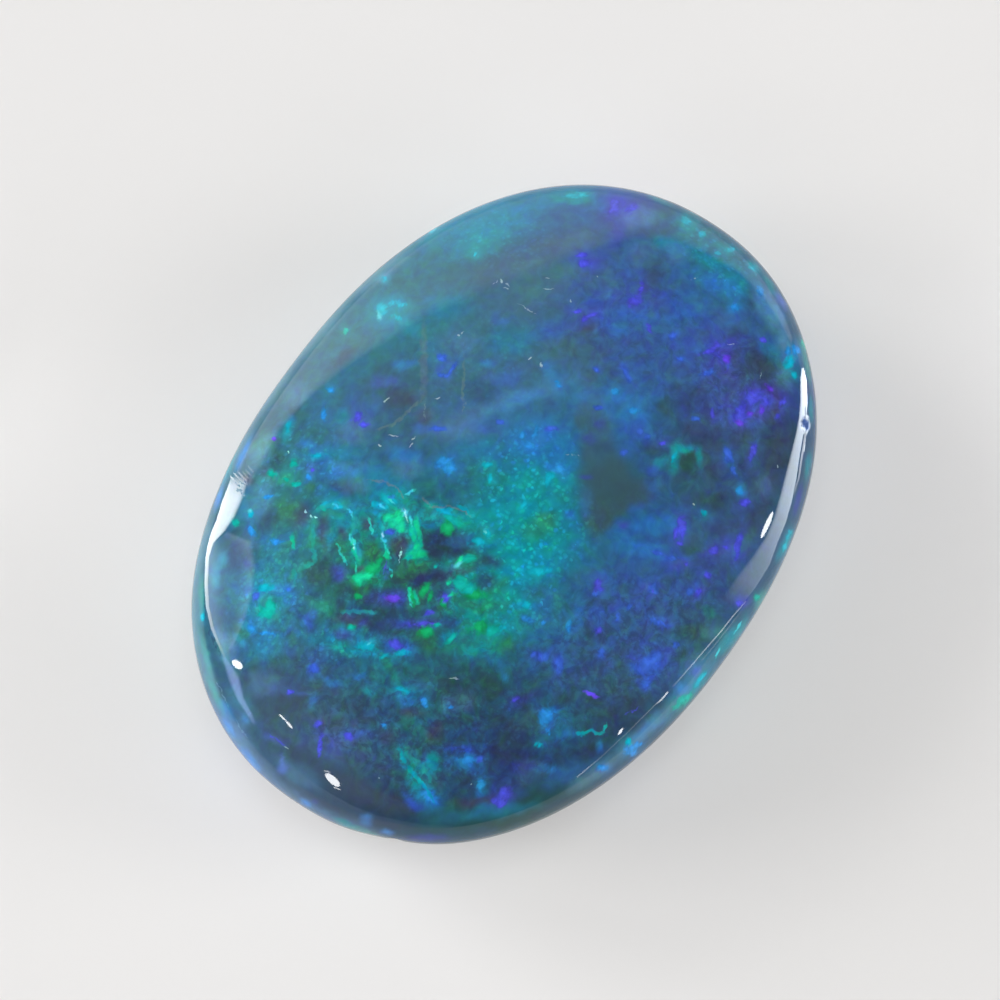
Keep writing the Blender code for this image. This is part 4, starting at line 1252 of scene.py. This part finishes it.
# How a card fades from its outer edge to its inner one: share of the way, and share of the brightness
EVEN = ((0, 1), (0.5, 1), (1, 1))
SOFT_INSIDE = ((0, 1), (0.35, 1), (0.7, 0.95), (0.85, 0.7), (1, 0))
SOFT_BOTH = ((0, 0), (0.3, 1), (0.7, 1), (1, 0))
LENS = (
    (0, 1), (0.1, 0.9), (0.2, 0.7), (0.3, 0.5), (0.4, 0.36), (0.5, 0.28), (0.6, 0.26), (0.7, 0.3), (0.8, 0.38),
    (0.9, 0.5), (1, 0),
)

# Where the cards show in the polish, each from one end to the other: outer end, inner end, brightness.
# A soft veil over the far half of the rim
BACK_VEIL = (
    (228, 478, 250, 489, 2.6), (236, 461, 257, 474, 2.6), (246, 443, 267, 456, 2.5), (257, 421, 281, 430, 2.5),
    (278, 390, 312, 396, 2.5), (313, 343, 350, 366, 2.3), (352, 298, 396, 338, 2.0), (397, 254, 432, 316, 1.7),
    (444, 225, 484, 294, 1.5), (488, 206, 532, 277, 1.4), (532, 194, 580, 256, 1.4), (582, 189, 612, 245, 1.3),
    (621, 192, 642, 240, 1.3), (663, 202, 680, 243, 1.3), (701, 219, 708, 256, 1.4), (735, 243, 740, 275, 1.5),
    (760, 268, 762, 297, 1.7), (781, 299, 779, 322, 1.8), (795, 330, 791, 345, 1.8),
)
# The bright window in the right shoulder, and the thin line along its outer side
RIGHT_BAND = (
    (804, 368, 801.5, 368, 16), (806.5, 380, 800, 379, 24), (807.5, 403, 800, 402, 24), (806, 420, 798.5, 418, 20),
    (803, 436, 795.5, 434, 17), (799.5, 457, 790.5, 454, 15), (796.5, 478, 785, 475, 13.5),
    (792, 501, 779, 498, 11.7), (786, 522, 773.5, 517, 9), (777.5, 543, 765, 537, 6.8), (769.5, 565, 752, 556, 4.6),
    (756, 587, 737, 575, 3.6), (746, 600, 727, 590, 1.4), (738, 610, 719, 600, 0),
)
RIGHT_LINE = (
    (806.5, 431, 804.6, 430, 5), (805.4, 440, 803.6, 439, 9), (802.8, 457, 800.9, 456, 9),
    (799.6, 478, 797.9, 477, 6), (796, 490, 794.6, 489, 4), (793.6, 500, 792.6, 499, 0),
)
# The bright window in the left shoulder, the veil beside it, and the blue streak under it
LEFT_PATCH = (
    (231, 477, 250, 475, 2), (228.5, 485, 248, 483, 14), (222, 502, 243, 499, 20), (216.5, 520, 235.5, 516, 20),
    (211, 533, 225.5, 531, 20), (207.5, 546, 214, 543, 20), (205.5, 558, 209.7, 557, 18),
    (204.4, 584, 208.4, 584, 15), (205.8, 607, 209.8, 606.5, 12), (210.8, 628, 214.2, 627, 10),
    (217.8, 645, 220.6, 643.5, 7), (224, 658, 226, 657, 2),
)
LEFT_VEIL = (
    (211, 545, 228, 531, 7), (206, 562, 252, 541, 8), (205, 584, 256.5, 562, 7.5), (206, 607, 254, 592, 7),
    (211, 628, 246, 620, 7), (218, 645, 236, 641, 7), (224, 657, 228, 655, 4),
)
LEFT_STREAK = (
    (221, 655, 226, 656, 3.0), (223, 663, 230, 662, 7.5), (228, 681, 240, 676, 10), (237, 701, 244.5, 698, 9),
    (246.5, 715, 252.5, 713, 7.0), (253, 725, 256, 723, 2.0),
)
# Thin bright lines low in the front flank
RIGHT_FLANK_LINE = (
    (746.5, 601.7, 745.5, 601, 3), (733.4, 616.5, 732.4, 615.8, 7), (721.5, 631.6, 720.5, 631, 8),
    (707.5, 647.6, 706.5, 647, 7), (695.5, 661.7, 694.5, 661, 6), (682.5, 676.7, 681.5, 676, 4),
    (673.5, 686.7, 672.5, 686, 2),
)
LOWER_FLANK_LINE = (
    (668.5, 692.4, 667.3, 691.4, 16), (661.7, 700.4, 660.5, 699.4, 14), (655, 705.6, 654.2, 704.9, 3),
    (627.8, 732.8, 627, 732.1, 2), (600.8, 757.9, 600.1, 757.3, 2), (586, 770.4, 585, 769.6, 6),
    (577.4, 777.4, 576.6, 776.8, 6),
)
SECOND_FLANK_LINE = (
    (741, 612, 740.2, 611.4, 1.5), (728, 629, 727.2, 628.4, 3), (713, 648, 712.2, 647.4, 2.5),
    (702, 661, 701.2, 660.4, 1.5),
)
# The pale table that mirrors in the rim nearest the eye
LOWER_BAND = (
    (247, 752, 262, 742, 0.1), (262, 768, 279, 755, 0.4), (281, 784, 294.5, 769, 0.65), (303, 799, 311, 781, 0.8),
    (325, 812, 329, 792.5, 1.1), (348, 822, 352.5, 805.7, 1.15), (372, 829, 375.4, 815, 0.9),
    (397, 833, 398.4, 820.3, 0.8), (425, 834, 425, 825, 0.7), (450, 834, 450, 825.5, 0.5),
)

# Small lamps: their middle in the picture, half length, half width, turn from the picture's right, brightness
LAMP_GLINTS = (
    ("right_glint", 767, 525, 14.5, 2.2, 66, 26),
    ("left_glint", 237.3, 664.5, 6.0, 3.5, -38, 30),
    ("curl_glint_top", 282.5, 717.5, 4.5, 0.9, -44, 24),
    ("curl_glint_foot", 289, 724.5, 5.2, 1.2, -48, 24),
    ("front_glint", 332.6, 780, 9.2, 3.6, -42, 24),
    ("front_glint_top", 329, 774.8, 4.4, 0.7, -14, 16),
    ("front_glint_tip", 327, 771.5, 3.4, 0.6, -16, 12),
    ("front_glint_foot", 337, 788.5, 4.0, 0.6, -20, 14),
    ("flank_glint", 620.5, 731.5, 4.0, 1.2, 55, 26),
    ("scratch_glint_1", 234, 480, 6, 0.7, -46, 12),
    ("scratch_glint_2", 238, 477.5, 6.5, 0.7, -46, 12),
    ("scratch_glint_3", 242, 476, 6.5, 0.7, -46, 10),
    ("scratch_glint_4", 245.5, 475, 5, 0.6, -46, 7),
    ("scratch_glint_5", 248, 472.5, 4.5, 0.6, -46, 6),
    ("scratch_glint_6", 250.5, 469, 4.5, 0.6, -46, 6),
)

GLINT_STATIONS = 13
TIP_WIDTH = 0.05


def glint_stations(across, down, half_length, half_width, turn, brightness):
    """The cross lines of a small round glint, from one tip to the other."""
    cos, sin = math.cos(math.radians(turn)), math.sin(math.radians(turn))
    stations = []
    for step in range(GLINT_STATIONS):
        angle = math.pi * step / (GLINT_STATIONS - 1)
        along, wide = -half_length * math.cos(angle), half_width * max(math.sin(angle), TIP_WIDTH)
        x, y = across + cos * along, down - sin * along
        stations.append((x - sin * wide, y - cos * wide, x + sin * wide, y + cos * wide, brightness))
    return stations


# The dim cards stand as far off as real panels. The bright ones stand close to the stone and are as much
# smaller, which looks the same from the camera, and from elsewhere keeps them from whitening the whole dome.
# NEAR is for them what a millimetre is for the others.
NEAR = 0.012 * MM
GLINT_DISTANCE = 400 * NEAR
for name, stations, profile, distance, colour in (
    ("back_veil", BACK_VEIL, SOFT_INSIDE, 460 * MM, WHITE),
    ("right_band", RIGHT_BAND, SOFT_INSIDE, 440 * NEAR, PALE_DAYLIGHT),
    ("right_line", RIGHT_LINE, EVEN, 430 * NEAR, WHITE),
    ("left_patch", LEFT_PATCH, SOFT_INSIDE, 420 * NEAR, WHITE),
    ("left_veil", LEFT_VEIL, LENS, 440 * MM, LAVENDER),
    ("left_streak", LEFT_STREAK, SOFT_BOTH, 430 * MM, BLUISH),
    ("second_flank_line", SECOND_FLANK_LINE, EVEN, 300 * NEAR, WHITE),
    ("lower_band", LOWER_BAND, EVEN, 480 * MM, SLATE_BLUE),
    ("right_flank_line", RIGHT_FLANK_LINE, EVEN, 430 * NEAR, WHITE),
    ("lower_flank_line", LOWER_FLANK_LINE, EVEN, 430 * NEAR, WHITE),
):
    add_glow(name, stations, profile, distance, colour)
for name, *glint in LAMP_GLINTS:
    add_glow(name, glint_stations(*glint), EVEN, GLINT_DISTANCE, WHITE)

# How far off the lamps are, in metres
LAMP_DISTANCE = 0.5


def add_lamp(name, azimuth, elevation, size, power, shadow):
    """A soft square lamp that lights the table and the stone, and isn't mirrored itself."""
    lamp = bpy.data.lights.new(name, "AREA")
    lamp.shape = "SQUARE"
    lamp.size = size
    lamp.energy = power
    holder = bpy.data.objects.new(name, lamp)
    bpy.context.scene.collection.objects.link(holder)
    aim = direction(azimuth, elevation)
    holder.location = aim * LAMP_DISTANCE
    holder.rotation_euler = aim.to_track_quat("Z", "Y").to_euler()
    holder.visible_glossy = False
    lamp.use_shadow = shadow


# Soft lamps round the table, low ones on every side and two high ones, measured off the tones of the table:
# azimuth, elevation, size in metres, power in watts
LAMPS = (
    ("left_back_lamp", -60, 15, 0.2, 1.37),
    ("left_lamp", -90, 15, 0.2, 1.35),
    ("left_front_lamp", -120, 15, 0.2, 0.46),
    ("back_lamp", 0, 15, 0.2, 0.30),
    ("right_back_lamp", 60, 15, 0.2, 0.46),
    ("right_lamp", 90, 15, 0.2, 0.99),
    ("right_front_lamp", 120, 15, 0.2, 0.35),
    ("front_lamp", 180, 15, 0.2, 0.23),
    ("high_front_lamp", 180, 60, 0.2, 0.54),
    ("overhead_lamp", 0, 89.9, 0.3, 0.72),
)
# These are so broad in the photo that they throw no shadow that can be seen
SHADOWLESS_LAMPS = ("back_lamp", "right_back_lamp", "high_front_lamp", "overhead_lamp")
for name, *lamp in LAMPS:
    add_lamp(name, *lamp, name not in SHADOWLESS_LAMPS)

# The dim studio round it
STUDIO_GREY = "#20242a"
world = bpy.data.worlds.new("studio")
world.use_nodes = True
studio = world.node_tree.nodes["Background"]
studio.inputs["Color"].default_value = (*linear(STUDIO_GREY), 1)
studio.inputs["Strength"].default_value = 1.0
bpy.context.scene.world = world
bpy.context.scene.view_settings.view_transform = "Standard"
bpy.context.scene.view_settings.look = "None"

place_camera()
